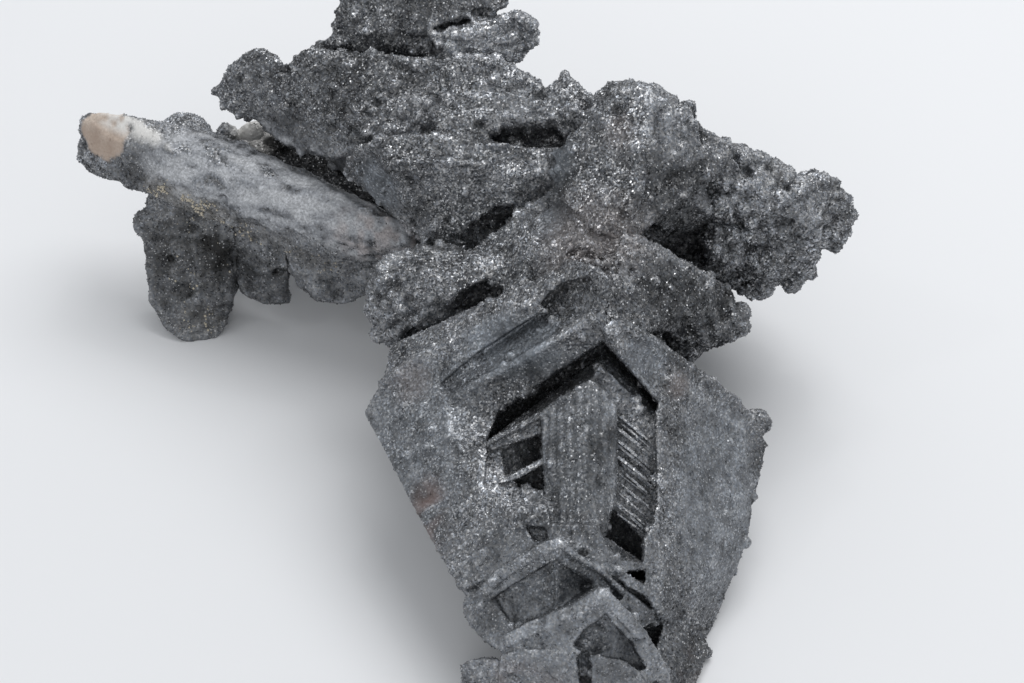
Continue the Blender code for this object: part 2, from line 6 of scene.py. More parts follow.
import bmesh
import bpy
import numpy as np
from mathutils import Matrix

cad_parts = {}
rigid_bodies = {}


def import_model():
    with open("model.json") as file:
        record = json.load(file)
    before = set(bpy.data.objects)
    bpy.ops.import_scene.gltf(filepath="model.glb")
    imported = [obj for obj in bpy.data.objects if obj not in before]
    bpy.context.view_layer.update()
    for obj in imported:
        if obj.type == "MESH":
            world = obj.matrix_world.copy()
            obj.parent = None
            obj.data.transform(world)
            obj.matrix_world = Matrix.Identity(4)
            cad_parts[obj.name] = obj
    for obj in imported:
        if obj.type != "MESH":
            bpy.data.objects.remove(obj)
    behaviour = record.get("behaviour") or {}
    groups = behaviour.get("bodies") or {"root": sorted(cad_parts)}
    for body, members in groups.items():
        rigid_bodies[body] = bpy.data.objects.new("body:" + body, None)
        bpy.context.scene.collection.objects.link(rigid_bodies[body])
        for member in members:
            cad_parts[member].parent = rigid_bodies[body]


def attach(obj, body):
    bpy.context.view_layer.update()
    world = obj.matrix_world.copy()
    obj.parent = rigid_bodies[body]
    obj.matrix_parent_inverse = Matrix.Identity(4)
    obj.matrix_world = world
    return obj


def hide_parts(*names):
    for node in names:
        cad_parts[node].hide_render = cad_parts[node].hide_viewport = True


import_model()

import openvdb
from mathutils import Matrix, Vector

T0 = time.time()
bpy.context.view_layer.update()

# ---------------------------------------------------------------- layout grid
STEP = 0.19          # mm per grid step
STATION = 2418.0     # station point to grid, in steps
LEAN = math.radians(45.0)
S, C = math.sin(LEAN), math.cos(LEAN)
GRID_Z = 42.0
ORIGIN = (-12.08, 6.372)   # base centre, in layout mm
EYE = np.array([0.0, -STATION * STEP * C, GRID_Z + STATION * STEP * S])
steps = []


def P(px, py, w):
    f = 1 - w / STATION
    u, v = (px - 512.0) * f, (341.5 - py) * f
    return (STEP * u, STEP * (v * S - w * C), GRID_Z + STEP * (v * C + w * S))


def Z(px, py, z):
    v = 341.5 - py
    return P(px, py, ((z - GRID_Z) / STEP - C * v) / (S - C * v / STATION))


def push(p, t):
    p = np.array(p, float)
    d = p - EYE
    return tuple(p + d / np.linalg.norm(d) * t * STEP)


def plane(a, b, c):
    a, b, c = map(np.array, (a, b, c))
    n = np.cross(b - a, c - a)
    n /= np.linalg.norm(n)
    return n, float(n @ a)


def on(pl, px, py, lift=0.0):
    d = np.array(P(px, py, 0.0)) - EYE
    n, e = pl
    return push(tuple(EYE + d * (e - n @ EYE) / (n @ d)), -lift)


def add(*pts, k=1.2, name=''):
    steps.append(('add', pts, k, name))


def cut(*pts, k=1.0, name=''):
    steps.append(('cut', pts, k, name))


def ball(c, r, k=1.5, name='', R=None):
    steps.append(('ball', (c, (r, r, r) if np.isscalar(r) else r, R), k, name))


def block(pts, t, s=0.85, k=1.2, name=''):
    b = [np.array(push(p, t)) for p in pts]
    c = np.mean(b, axis=0)
    add(*pts, *[tuple(c + (q - c) * s) for q in b], k=k, name=name)


def well(floor, s=1.12, lift=200, k=0.8, name=''):
    m = [np.array(push(p, -lift)) for p in floor]
    c = np.mean(m, axis=0)
    cut(*floor, *[tuple(c + (q - c) * s) for q in m], k=k, name=name)


def rim(pts, w, t=None, k=0.6, name=''):
    t = t or w
    arms = ((w, 0, 0), (-w, 0, 0), (0, w * S, w * C), (0, -w * S, -w * C), (0, -t * C, t * S), (0, t * C, -t * S))
    for p, q in zip(pts[:-1], pts[1:]):
        add(*[tuple(np.array(c) + STEP * np.array(a)) for c in (p, q) for a in arms], k=k, name=name)


def bar(pts, t, k=0.4, name=''):
    add(*[tuple(p) for p in pts], *[push(p, t) for p in pts], k=k, name=name)


def band(pts, w, t, k=0.35, name=''):
    for p, q in zip(pts[:-1], pts[1:]):
        p, q = np.array(p), np.array(q)
        along = (q - p) / np.linalg.norm(q - p)
        across = np.cross(along, (p + q) / 2 - EYE)
        across *= w * STEP / np.linalg.norm(across)
        over = along * w * STEP * .6
        face = [tuple(e + sd * across) for e in (p - over, q + over) for sd in (1, -1)]
        add(*face, *[push(z, t) for z in face], k=k, name=name)


def xtal(c, r, st=(1, 1, 1), k=0.8, name=''):
    """An octahedron parallel to the front crystal, with a sunk triangle in each face."""
    c = np.array(c, float)
    ax = [a * r * m for a, m in zip((X1, X2, X3), st)]
    pits = []
    for i in range(8):
        tri = [ax[a] * (1 if (i >> a) & 1 else -1) for a in range(3)]
        mid = sum(tri) / 3
        nrm = np.cross(tri[1] - tri[0], tri[2] - tri[0])
        nrm /= np.linalg.norm(nrm)
        nrm = nrm if nrm @ mid > 0 else -nrm
        deep = .05 + .09 * ((i * .618 + c[0] * .37 + c[1] * .21) % 1)
        pits.append([tuple(c + mid + (v - mid) * (.45 if d < 0 else .8) + nrm * r * d) for d in (-deep, .3) for v in tri])
    steps.append(('xtal', ([tuple(c + sg * a) for a in ax for sg in (1, -1)], pits), k, name))


def octa(c, t, l, r, ax, k=0.6, name=''):
    c, t, ax = np.array(c), np.array(t), np.array(ax)
    add(tuple(t), l, r, tuple(2 * c - t), tuple(c + ax), tuple(c - ax), k=k, name=name)


# ---------------------------------------------------------------- the shape
group_of = {}

# hidden core that carries everything
add(Z(470,150,40),Z(600,110,60),Z(690,130,58),Z(720,200,40),Z(650,330,38),Z(560,330,40),Z(450,300,30),Z(420,200,30),
    (38,48,0),(14,52,0),(22,34,0),(45,40,10),(-5,60,20),(10,20,12),(30,70,30),(0,75,40),k=2,name='core')

# slab A (top block)
block([Z(330,44,63),Z(340,0,70),Z(350,-22,74),Z(385,-38,76),Z(455,-44,77),Z(498,-22,77),Z(512,-2,76),Z(506,12,74),Z(436,22,70),Z(430,58,62),Z(378,58,60),Z(352,46,62)],70,0.85,name='A1')
block([Z(426,60,63),Z(430,26,70),Z(470,22,71),Z(506,14,73),Z(520,16,74),Z(529,26,72),Z(529,44,68),Z(524,51,66),Z(512,56,65),Z(495,54,66),Z(470,60,64)],70,0.85,name='A2')
well([Z(430,26,66.5),Z(470,14,69.5),Z(506,10,69),Z(514,18,67.5),Z(474,25,66),Z(438,33,64)],1.0,lift=60,k=.7,name='Agroove')
block([Z(314,50,60),Z(318,42,62),Z(330,38,64),Z(344,42,64),Z(326,55,60)],30,0.8,name='A3')
add(Z(360,52,60),Z(430,54,62),Z(500,52,63),Z(500,96,50),Z(360,96,50),push(Z(345,50,60),60),push(Z(500,52,63),60),push(Z(330,90,50),40),push(Z(500,96,50),60),k=1,name='neckAB')

# slab B
block([Z(213,92,50),Z(228,71,56),Z(243,55,60),Z(262,47,62),Z(277,54,61.5),Z(285,67,60),Z(284,90,55),Z(262,121,48),Z(246,119,47.5),Z(232,115,47),Z(222,105,48)],60,0.8,name='B1')
block([Z(262,128,46.5),Z(250,110,50),Z(284,72,59),Z(290,63,60),Z(302,51,64),Z(312,49,64.5),Z(330,55,65),Z(430,58,67),Z(480,62,69),Z(500,100,63),Z(500,136,57),Z(440,137,56),Z(372,139,54.5),Z(350,152,50),Z(335,160,48),Z(312,158,46),Z(298,151,45.5),Z(280,144,45)],75,0.85,name='B2')
block([Z(440,58,69.5),Z(470,57,70.5),Z(496,59,70.5),Z(512,66,70),Z(532,78,68),Z(545,88,67),Z(562,104,65),Z(556,122,61),Z(500,126,60),Z(440,112,62)],70,0.85,name='B3')
block([Z(430,92,64.5),Z(505,92,67),Z(548,100,67),Z(560,112,65),Z(548,121,62.5),Z(470,116,62.5)],30,0.9,k=.6,name='B4')
block([Z(436,118,61),Z(500,116,62.5),Z(548,122,62.5),Z(560,126,61),Z(548,130,59),Z(470,136,57.5)],30,0.9,k=.6,name='B5')
add(Z(430,112,63),Z(500,113,64.5),Z(502,132,61),Z(492,138,60),Z(440,139,59.6),push(Z(430,112,63),30),push(Z(500,113,64.5),30),push(Z(502,132,61),30),push(Z(492,138,60),30),push(Z(440,139,59.6),30),k=1.2,name='B5fill')
add(Z(496,113,64.5),Z(556,116,65.5),Z(563,124,63),Z(540,126,62.5),Z(500,127,62),push(Z(496,113,64.5),24),push(Z(556,116,65.5),24),push(Z(563,124,63),24),push(Z(500,127,62),24),k=1.0,name='B5lip')

# slab C
block([Z(343,168,49),Z(360,150,55),Z(379,139,60),Z(400,165,54),Z(418,215,44),Z(436,240,41),Z(428,243,40),Z(398,222,42)],60,0.85,name='C1')
block([Z(379,139,60),Z(440,136,62),Z(500,140,63),Z(530,146,62),Z(552,148,61),Z(560,165,59),Z(470,172,57),Z(385,172,55)],75,0.85,name='C2')
block([Z(388,168,55),Z(470,168,58),Z(560,160,60),Z(572,185,57),Z(540,206,50),Z(520,222,47),Z(482,243,42),Z(440,240,42),Z(415,222,43)],75,0.85,name='C3')
well([Z(455,236,36),Z(482,214,42),Z(516,205,46),Z(516,224,40),Z(480,246,36)],1.0,name='Chollow')
# crevice between B and C
well([Z(498,138,50),Z(510,131,52),Z(535,128,52),Z(562,130,52),Z(566,138,52),Z(545,145,50),Z(515,143,50)],1.0,lift=100,name='crevBC')
rim([Z(386,163,57.6),Z(450,161,59.6),Z(505,165,58.8)],3.5,2.5,k=1.4,name='Cledge')
rim([Z(515,219,53.7),Z(530,209.5,56.0),Z(541,203,57.4),Z(553,195,60.2)],5,3.5,k=1.0,name='Cridge')

# D dome
block([Z(596,112,73),Z(612,92,79),Z(640,84,80.5),Z(658,97,78.4),Z(688,122,73.4),Z(712,143,69),Z(736,152,67),Z(724,172,64.5),Z(704,180,63),Z(655,181,66),Z(644,200,65),Z(640,238,61),Z(600,235,63),Z(558,200,63),Z(556,150,68)],150,0.8,name='D1')
rim([Z(652,100,78.6),Z(644,150,73.6),Z(629,228,63.4)],8,4,k=3,name='Dridge')
rim([Z(634,234,61.4),Z(622,252,61.2),Z(600,266,60.4),Z(574,262,59.5)],3,3,k=1,name='Dlip')
block([Z(547,150,63),Z(575,142,68),Z(600,150,68),Z(585,190,64),Z(552,195,58)],60,0.9,name='D4')
# facet under the dome's right rim, tilted back, over the hollow
add(Z(648,182,65.4),Z(704,180,63),Z(708,212,55),Z(694,227,52.5),Z(664,229,54.5),Z(645,213,60.5),push(Z(648,182,62),100),push(Z(704,180,60),100),push(Z(708,214,50),70),push(Z(664,228,50),70),k=.8,name='D5')
block([Z(560,190,61),Z(600,190,65),Z(640,238,62),Z(620,262,60),Z(580,262,59),Z(545,262,53),Z(505,300,45),Z(470,318,42),Z(452,300,42),Z(500,236,50)],140,0.8,name='D2')
# steps between B and D
block([Z(543,104,66),Z(548,88,68.5),Z(562,75,70.5),Z(569,73,71),Z(594,100,70),Z(596,130,66),Z(560,130,62)],60,0.8,name='st1')
block([Z(592,99,70),Z(600,88,72.5),Z(610,81,74),Z(620,79,74.5),Z(638,80.5,76.5),Z(650,88,76),Z(662,98,75),Z(688,107,72.5),Z(698,112,71.5),Z(699,121,69.5),Z(690,128,68),Z(600,140,70)],70,0.8,name='st2')

# E right wing
block([Z(698,134,68),Z(712,143,66),Z(722,147,64.5),Z(745,151,63),Z(775,166,58.5),Z(805,184,53),Z(826,198,49),Z(834,215,46),Z(828,234,43),Z(802,246,40),Z(796,262,37),Z(770,274,33),Z(740,284,32),Z(715,278,34),Z(700,262,38),Z(694,240,44),Z(700,200,54)],110,0.75,name='E')
well([Z(664,241,43),Z(678,229,45),Z(698,226,45),Z(711,230,41),Z(710,244,37),Z(694,258,35),Z(674,255,39)],1.02,name='Ehollow')
EK=[(812,188,51,2.6),(822,190,50,2.1),(829,201,47.5,2.7),(840,213,43.5,2.3),(842,226,41.5,2.0),(834,234,41,2.5),(818,236,40.5,2.2),(804,252,37,2.4),(800,267,33.5,2.6),(794,277,31.5,1.9),(780,268,33,2.2),(768,276,31,1.9),(757,288,28.5,2.5),(746,284,30,2.6),(730,282,31,2.2)]
for i in range(27):
    u=(i*.618034)%1; v=(i*.381966*1.7+.31*math.sin(i*2.3))%1
    x=708+92*u; y=152+96*v+.36*(x-708)
    if y>272: y=272-(y-272)
    EK.append((x,y,50-.057*(x-760)-.225*(y-215)-.3,1.5+.9*((i*.7548)%1)))
for i,(x,y,z,r) in enumerate(EK):
    ball(Z(x,y,z),(r,r*.9,r*.9),k=.7,name='e%d'%i)

# G2 lower right lobe
block([Z(600,262,60),Z(636,240,62),Z(660,247,60),Z(690,265,55),Z(722,284,49),Z(736,292,46),Z(726,306,43),Z(700,320,43),Z(668,330,46),Z(640,336,50),Z(606,316,56)],80,0.8,name='G2')
ball(Z(722,322,40),(3.6,3,3),name='g1'); ball(Z(705,328,38),(3.6,3,3.4),name='g2'); ball(Z(690,325,40),(4,3.4,4),name='g3'); ball(Z(733,318,41),(2.2,2,2),name='g4')
ball(Z(682,345,34),(3,3,4),name='g5'); ball(Z(684,356,31),(1.6,1.6,2.4),name='g6')

# F left bulge
ball(Z(408,285,40),(6.5,6,5.8),name='F1')
ball(Z(396,302,35),(4.8,5,5.5),name='F2')
ball(Z(398,322,31),(4.4,4,4),name='F3')
ball(Z(440,274,43),(8,6.5,5.5),name='F4')
ball(Z(438,300,37),(8,6,5),name='F5')
ball(Z(478,282,44),(8,6,6),name='F6')
block([Z(456,262,44),Z(480,244,47),Z(512,228,50),Z(535,216,54),Z(562,190,60),Z(600,205,63),Z(575,240,60),Z(545,262,54),Z(505,275,49),Z(480,285,45)],70,0.8,name='F7')
well([Z(458,290,37),Z(490,276,41),Z(508,286,40),Z(500,310,36),Z(478,314,34),Z(450,322,31),Z(440,318,32)],0.9,lift=80,name='Fhollow')

# N rod and lobes
add(Z(82,118,42),Z(90,112,43),Z(104,110,44.5),Z(128,116,45),Z(160,126,44),Z(128,188,30),Z(84,171,31),Z(78,160,32),
    Z(240,142,42),Z(300,172,41),Z(345,197,40),Z(400,221,39),Z(416,227,38),Z(418,246,35),Z(400,264,29),Z(330,262,27),Z(230,226,28),
    Z(112,140,41),Z(172,152,42.6),Z(192,183,38.4),Z(235,160,41.6),Z(240,192,37.0),Z(330,207,39),Z(345,234,35.2),Z(408,241,36.6),push(Z(160,126,43),55),push(Z(240,142,42),55),push(Z(345,197,40),55),push(Z(416,228,38),45),push(Z(92,120,40),50),k=1.0,name='rod')
block([Z(146,196,28),Z(140,230,22),Z(146,270,14),Z(150,300,8),Z(163,325,3),Z(180,340,0.5),Z(200,345,-1),Z(212,343,-1),Z(228,322,3),Z(238,285,9),Z(238,240,20),Z(232,214,27)],45,0.9,name='lobe1')
ball(Z(142,222,22),(2.2,2,3.4),name='lobe1b')
add(Z(150,176,36),Z(228,206,34),Z(146,200,26),Z(226,222,24),push(Z(150,176,36),30),push(Z(228,206,34),30),push(Z(160,215,22),25),push(Z(226,230,20),25),name='lobe1root')
block([Z(232,225,26),Z(236,270,14),Z(240,290,11),Z(258,301,9.5),Z(280,306,8.5),Z(291,303,9),Z(291,290,12),Z(286,262,18),Z(285,240,25)],40,0.85,name='lobe2')
add(Z(236,212,34),Z(380,250,33),Z(240,236,22),Z(375,268,22),push(Z(236,212,34),30),push(Z(380,250,33),30),push(Z(240,240,20),25),push(Z(375,272,20),25),name='lobe23root')
block([Z(285,245,26),Z(290,265,20),Z(300,290,14),Z(318,303,12),Z(345,305,12),Z(364,298,13),Z(378,280,17),Z(392,262,22),Z(400,245,27)],45,0.85,name='lobe3')
ball(Z(184,136,36),(5.5,4.5,4.0),name='rodknob')
ball(Z(228,136,34),(2.6,2.6,2.6),name='rodknob2')
add(Z(236,130,34),Z(246,121,36),Z(258,120,36),Z(265,128,35),Z(262,140,32),Z(240,140,32),push(Z(250,130,33),20),k=.5,name='pale')
# web behind the gap, deep
add(Z(232,132,30),Z(262,124,32),Z(345,158,28),Z(430,213,22),Z(480,236,20),Z(480,262,18),Z(440,280,18),Z(330,250,18),Z(260,190,20),Z(225,150,22),
    push(Z(300,150,30),70),push(Z(345,158,28),90),push(Z(430,213,22),90),push(Z(440,280,18),40),push(Z(245,135,30),50),k=1,name='web')
# fill behind the wedge of A and the joint of B and C
add(Z(318,48,54),Z(345,44,57),Z(382,50,57),Z(382,66,54),Z(330,62,52),push(Z(318,48,54),50),push(Z(382,50,57),60),push(Z(350,62,50),50),k=.8,name='wedge')
add(Z(326,150,44),Z(352,150,47),Z(366,160,46),Z(352,176,40),Z(330,166,38),push(Z(326,150,44),50),push(Z(366,160,46),60),push(Z(352,176,40),40),k=.8,name='web2')

# front crystal, oct1
T=P(605,320,100);L=P(363,412,-33);Rr=P(765,449,-46)
T2=P(572,541,152);L2=P(458,590,86);R2=P(665,600,80)
O=np.array(P(563,421,-39))
B=tuple(2*O-np.array(T))
TL=plane(T,L,L2); TR=plane(T,P(764,448,-42),P(700,620,10))
add(T,L,Rr,B,T2,L2,R2,P(386,373,-45),P(752,520,-30),P(742,556,-20),P(715,602,-4),P(700,640,-8),P(560,640,10),P(690,683,-20),P(600,350,-120),P(735,400,-80),k=.7,name='oct1')
# roof of front crystal up to the dome: outer rim R2
block([on(TL,384,380,-3),on(TL,390,346,-10),on(TL,440,328,0),on(TL,478,315,2),on(TL,515,306,4),on(TL,536,290,10),on(TL,556,270,16),on(TL,566,292,8),on(TL,562,350,-6),on(TL,500,386,-6),on(TL,440,408,-6),on(TL,395,405,-6)],60,0.9,k=.8,name='roofTL')
block([on(TL,545,300,0),on(TL,565,258,10),on(TL,600,268,20),on(TL,612,280,25),on(TL,604,320,0),on(TL,560,350,-6)],60,0.9,k=.8,name='roofT')
rim([on(TL,384,384,0),on(TL,417,360,4),on(TL,449,343,5),on(TL,476,330,5),on(TL,513,316,5),on(TL,532,304,6),Z(554,278,54.5),Z(570,248,60)],8,6,k=1.2,name='R2')
# terrace between R2 and R3
well([on(TL,440,385,-5),on(TL,478,352,-9),on(TL,516,329,-12),on(TL,538,314,-12),on(TL,548,322,-9),on(TL,590,312,-6),on(TL,545,340,-5),on(TL,500,367,-4),on(TL,450,390,-4)],1.02,lift=60,k=.5,name='terrace')
well([on(TL,540,304,-14),on(TL,562,283,-10),on(TL,590,276,-2),on(TL,598,290,-4),on(TL,592,310,-8),on(TL,556,318,-14)],1.03,lift=80,k=.5,name='valley2')
rim([on(TL,440,402,-1),on(TL,468,388,-1),on(TL,500,371,-1),on(TL,526,356,0),on(TL,560,338,1),on(TL,590,317,3),Z(599,300,58),Z(606,282,59.5),Z(620,256,61.5)],3.2,3.2,k=.6,name='R3')
# face below R3 slopes in to the gap
well([on(TL,484,448,-16),on(TL,496,416,-24),on(TL,550,378,-24),on(TL,606,338,-20),on(TL,598,322,-1),on(TL,560,342,-1),on(TL,500,375,-1),on(TL,448,404,-1),on(TL,452,432,-1),on(TL,466,450,-1)],1.0,lift=80,k=.4,name='R3face')
# the pocket: one wide recess, then the deep slits along its two upper sides
well([on(TL,486,442,-34),on(TL,499,412,-66),on(TL,604,341,-66),on(TL,600,364,-58),on(TL,590,382,-32),on(TL,545,409,-32),on(TL,520,428,-32),on(TL,500,436,-30)],1.0,lift=120,k=.3,name='ledgeL')
well([on(TL,486,442,-90),on(TL,499,412,-110),on(TL,604,341,-110),on(TL,603,355,-110),on(TL,585,367,-110),on(TL,545,392,-110),on(TL,505,423,-100)],1.0,lift=160,k=.3,name='gapL')
well([on(TR,600,362,-14),on(TR,613,368,-8),on(TR,655,413,-8),on(TR,657,436,-5),on(TR,630,424,-24),on(TR,604,386,-26),on(TR,590,380,-26)],1.0,lift=120,k=.3,name='ledgeR')
well([on(TL,604,341,-110),on(TR,646,388,-110),on(TR,659,402,-110),on(TR,656,413,-110),on(TR,641,404,-110),on(TR,613,370,-110),on(TL,600,362,-110)],1.0,lift=160,k=.3,name='gapR')
add(on(TR,606,344,-84),on(TR,648,389,-74),on(TR,659,403,-66),on(TR,656,413,-30),on(TR,641,404,-28),on(TR,613,370,-28),on(TR,600,362,-34),push(on(TR,606,344,-84),60),push(on(TR,648,389,-74),60),push(on(TR,659,403,-66),60),push(on(TR,656,413,-30),90),push(on(TR,613,370,-28),90),push(on(TR,600,362,-34),90),k=.3,name='gapRfill')
well([P(591,379,84),P(545,406,68),P(540,416,66),P(545,500,84),P(552,523,94),P(606,524,80),P(622,495,66),P(630,418,56),P(610,392,72)],1.0,lift=140,k=.4,name='Jcut')
well([on(TL,487,446,-14),on(TL,520,430,-28),on(TL,552,412,-30),on(TL,552,500,-30),on(TL,532,508,-20),on(TL,505,502,-8),on(TL,484,486,-5)],1.0,lift=140,k=.4,name='floorL')
well([on(TL,502,452,-26),on(TL,524,438,-48),on(TL,552,434,-90),on(TL,552,458,-90),on(TL,530,470,-56),on(TL,505,476,-26)],1.0,lift=100,k=.3,name='cav1')
well([on(TL,514,478,-50),on(TL,552,463,-80),on(TL,552,492,-80),on(TL,534,491,-60),on(TL,518,488,-44)],1.0,lift=100,k=.3,name='cav2')
well([on(TR,590,382,-30),on(TR,604,388,-28),on(TR,628,424,-23),on(TR,656,436,-5),on(TR,657,500,-5),on(TR,654,522,-6),on(TR,642,542,-12),on(TR,626,528,-26),on(TR,600,512,-42),on(TR,590,440,-42)],1.0,lift=160,k=.4,name='floorR')
well([on(TR,596,518,-66),on(TR,614,510,-70),on(TR,631,527,-70),on(TR,643,540,-66),on(TR,643,562,-60),on(TR,620,560,-66),on(TR,606,546,-66)],1.0,lift=100,k=.3,name='cav3')
well([on(TR,619,571,-50),on(TR,645,570,-50),on(TR,645,582,-50),on(TR,624,584,-50)],1.0,lift=100,k=.3,name='slot')
# TR bar
block([on(TR,605,328,14),on(TR,613,320,14),on(TR,626,321,12),on(TR,650,336,9),on(TR,692,366,4),on(TR,740,402,-2),on(TR,764,446,-3),on(TR,720,430,-3),on(TR,662,404,2),on(TR,658,401,2),on(TR,640,380,4),on(TR,610,345,10)],50,0.95,k=.5,name='TRbar')
well([on(TR,611,338,9),on(TR,626,330,9),on(TR,652,350,6),on(TR,672,372,3),on(TR,664,394,0),on(TR,648,384,1)],1.0,lift=60,k=.4,name='TRpanel')
rim([on(TR,622,322,12),on(TR,652,340,9),on(TR,692,368,4),on(TR,735,400,0),on(TR,764,446,-2)],4,4,k=1.2,name='TRrim')
ball(P(757,419,-40),(2.2,2.0,2.0),name='trk1'); ball(P(763,425,-44),(1.5,1.5,1.5),name='trk2')
block([Z(664,622,12.5),Z(690,606,11),Z(704,630,6.5),Z(708,652,3.5),Z(700,668,2.5),Z(692,690,1.5),Z(660,700,5),Z(652,660,10)],70,0.9,k=1.2,name='tip')
# ridge J: the crystal's own edge, left standing in the pocket, with its crest worn flat
bar([P(591,381,94),P(568,392,90),P(546,407,80),P(541,416,78),P(546,434,85),P(546,500,102),P(552,523,110),P(563,524,120),P(577,525,124),P(591,524,118),P(606,523,98),
     P(558,450,95),P(574,450,102),P(590,450,100),P(603,450,90),P(601,388,90),P(611,398,82),P(618,413,76),P(618,437,77),P(613,455,79),P(613,474,80),P(617,492,83)],74,k=1.2,name='J')
bar([P(550,512,104),P(563,514,117),P(577,515,121),P(591,514,115),P(606,512,94),P(608,531,96),P(591,532,116),P(577,533,122),P(563,532,118),P(550,531,106)],40,k=1.2,name='Jfoot')
# thin plates in the pocket
bar([on(TL,486,443,-5),on(TL,500,434,-9),on(TL,520,427,-12),on(TL,535,417,-14),on(TL,548,407,-18),on(TL,549,432,-18),on(TL,528,431,-14),on(TL,515,433,-12),on(TL,500,441,-9),on(TL,491,451,-6)],6,k=.3,name='blade1')
bar([on(TL,498,483,-8),on(TL,510,476,-12),on(TL,522,471,-16),on(TL,548,455,-20),on(TL,549,460,-20),on(TL,524,475,-16),on(TL,510,481,-12)],8,k=.3,name='blade2')
add(on(TL,512,494,-8),on(TL,524,486,-10),on(TL,542,489,-12),on(TL,544,504,-8),on(TL,530,512,-4),on(TL,514,508,-4),push(on(TL,512,494,-8),20),push(on(TL,544,494,-10),20),push(on(TL,530,512,-4),20),k=.9,name='pocklump')
for i in range(19):
    y,x0,x1=414+i*6.1+2.0*math.sin(i*2.4),618-4*math.sin(i*.45)+3*math.sin(i*1.7),652-5*math.sin(i*2.3)
    s=(.84+.13*math.sin(i*3.1))*(x1-x0)
    if y+s<546:
        w=1.7+.8*math.sin(i*4.3)
        bar([on(TR,x0,y,-24),on(TR,(x0+x1)/2,y+s*.46,-12),on(TR,x1,y+s,-4),on(TR,x1,y+s+w,-4),on(TR,(x0+x1)/2,y+s*.46+w*1.6,-12),on(TR,x0,y+w*1.3,-24)],12,k=.2,name='fin%d'%i)
bar([on(TR,590,527,-6),on(TR,600,534,-7),on(TR,610,546,-8),on(TR,620,558,-9),on(TR,647,566,-9),on(TR,647,571,-9),on(TR,618,566,-8),on(TR,606,552,-7),on(TR,596,540,-6)],16,k=.3,name='blade3')
bar([on(TL,571,542,2),on(TR,590,527,-1),on(TR,594,530,-1),on(TL,575,546,2)],12,k=.3,name='blade4')

# chevron stack: hopper faced crystals, each with its flat rim
octa(P(548,582,62),P(531,514,126),P(455,566,84),P(640,566,74),np.array((0,-8,-2.0)),name='oct0')
well([P(526,527,112),P(546,527,112),P(548,541,112),P(534,541,112)],1.0,lift=60,k=.3,name='pit1')
octa(P(560,596,82),P(561,540,160),P(463,613,92),P(664,618,84),np.array((0,-14,-2.5)),name='oct2')
well([P(484,604,94),P(556,558,128),P(555,600,120),P(548,622,128),P(520,628,112),P(490,622,98)],1.02,lift=80,k=.3,name='hop2L')
well([P(556,560,128),P(604,592,108),P(600,606,116),P(572,612,120),P(553,620,124)],1.02,lift=80,k=.3,name='hop2R')
well([P(612,590,104),P(624,592,104),P(622,600,104),P(612,599,104)],1.0,lift=60,k=.3,name='pit2')
band([P(472,607,98),P(486,589,114),P(500,576,124),P(521,562,138),P(540,550,150),P(559,542,162)],5.2,44,name='rim2L')
band([P(559,543,164),P(580,559,150),P(601,571,136),P(622,592,122)],2.8,26,name='rim2R')
band([P(590,554,140),P(630,582,118),P(645,590,108),P(656,603,98),P(664,618,90)],4.4,40,name='rim2R2')
add(P(466,592,96),P(463,606,96),P(468,622,100),P(484,641,106),P(502,652,116),P(520,650,128),P(512,624,118),P(496,600,104),P(482,592,100),P(470,600,60),P(490,645,66),P(520,655,80),k=1.2,name='oct2foot')
octa(P(598,640,116),P(602,592,182),P(505,644,118),P(666,676,112),np.array((0,-13,-2.5)),name='oct3')
band([P(508,640,124),P(531,628,138),P(557,617,154),P(576,610,166),P(602,594,185)],6.0,36,name='rim3L')
band([P(602,594,186),P(625,617,166),P(641,636,148),P(651,652,134),P(660,667,122),P(666,690,110)],5.8,36,name='rim3R')
well([P(604,612,158),P(632,645,128),P(646,668,116),P(630,676,120),P(600,655,146)],1.0,lift=60,k=.3,name='hop3R')
well([P(583,630,150),P(603,616,156),P(607,650,142),P(590,656,136),P(573,646,138)],1.0,lift=60,k=.3,name='hop3L')
block([P(461,666,88),P(470,661,94),P(484,658,100),P(498,658,104),P(503,676,106),P(498,710,92),P(468,712,78)],100,0.85,k=1.0,name='front0')
block([P(501,655,124),P(522,649,136),P(548,649,146),P(572,656,148),P(580,680,140),P(575,712,124),P(520,735,96),P(496,710,100)],130,0.85,k=.8,name='front1')
block([P(588,664,150),P(604,657,164),P(622,660,160),P(638,670,148),P(650,690,136),P(640,750,104),P(592,750,108),P(583,690,136)],130,0.85,k=.8,name='front2')
well([P(577,656,130),P(586,650,136),P(592,664,136),P(590,702,118),P(581,702,114)],1.0,lift=120,k=.3,name='joint')
block([P(520,692,122),P(560,684,134),P(610,692,138),P(615,740,128),P(560,790,108),P(520,760,106)],110,0.85,k=1.0,name='front3')

# parallel crystals on the back and the underside
X1=np.array(T)-O; X1/=np.linalg.norm(X1)
X2=np.array(L)-O; X2-=X1*(X2@X1); X2/=np.linalg.norm(X2)
X3=np.cross(X1,X2)
for i,(c,r,st) in enumerate([
    ((31,62,27),16.5,(1,1,1)),((10,68,36),14.5,(1,.9,1.1)),((46,47,25),12.5,(1.1,1,.9)),((42,57,30),10,(1,1,1)),
    ((-10,68,50),12,(1,1.1,.9)),((20,73,34),10,(1,1,1)),((34,45,12),11.5,(1,1,.9)),((51,34,35),9,(.9,1,1)),
    ((-2,48,14),11.5,(1,1,1)),((30,8,20),11,(1,1,1)),((35,-9,26),9.5,(1,1,1)),((36,-24,11),8.5,(1,1,1)),
    ((14,-8,18),11.5,(1,.9,1)),((-8,14,30),10,(1,1,1)),((-24,70,55),9,(1,1,1)),((-38,58,52),8.5,(1,1,1)),((-8,70,47),8,(1,1,.9))]):
    xtal(c,r,st,name='x%d'%i)


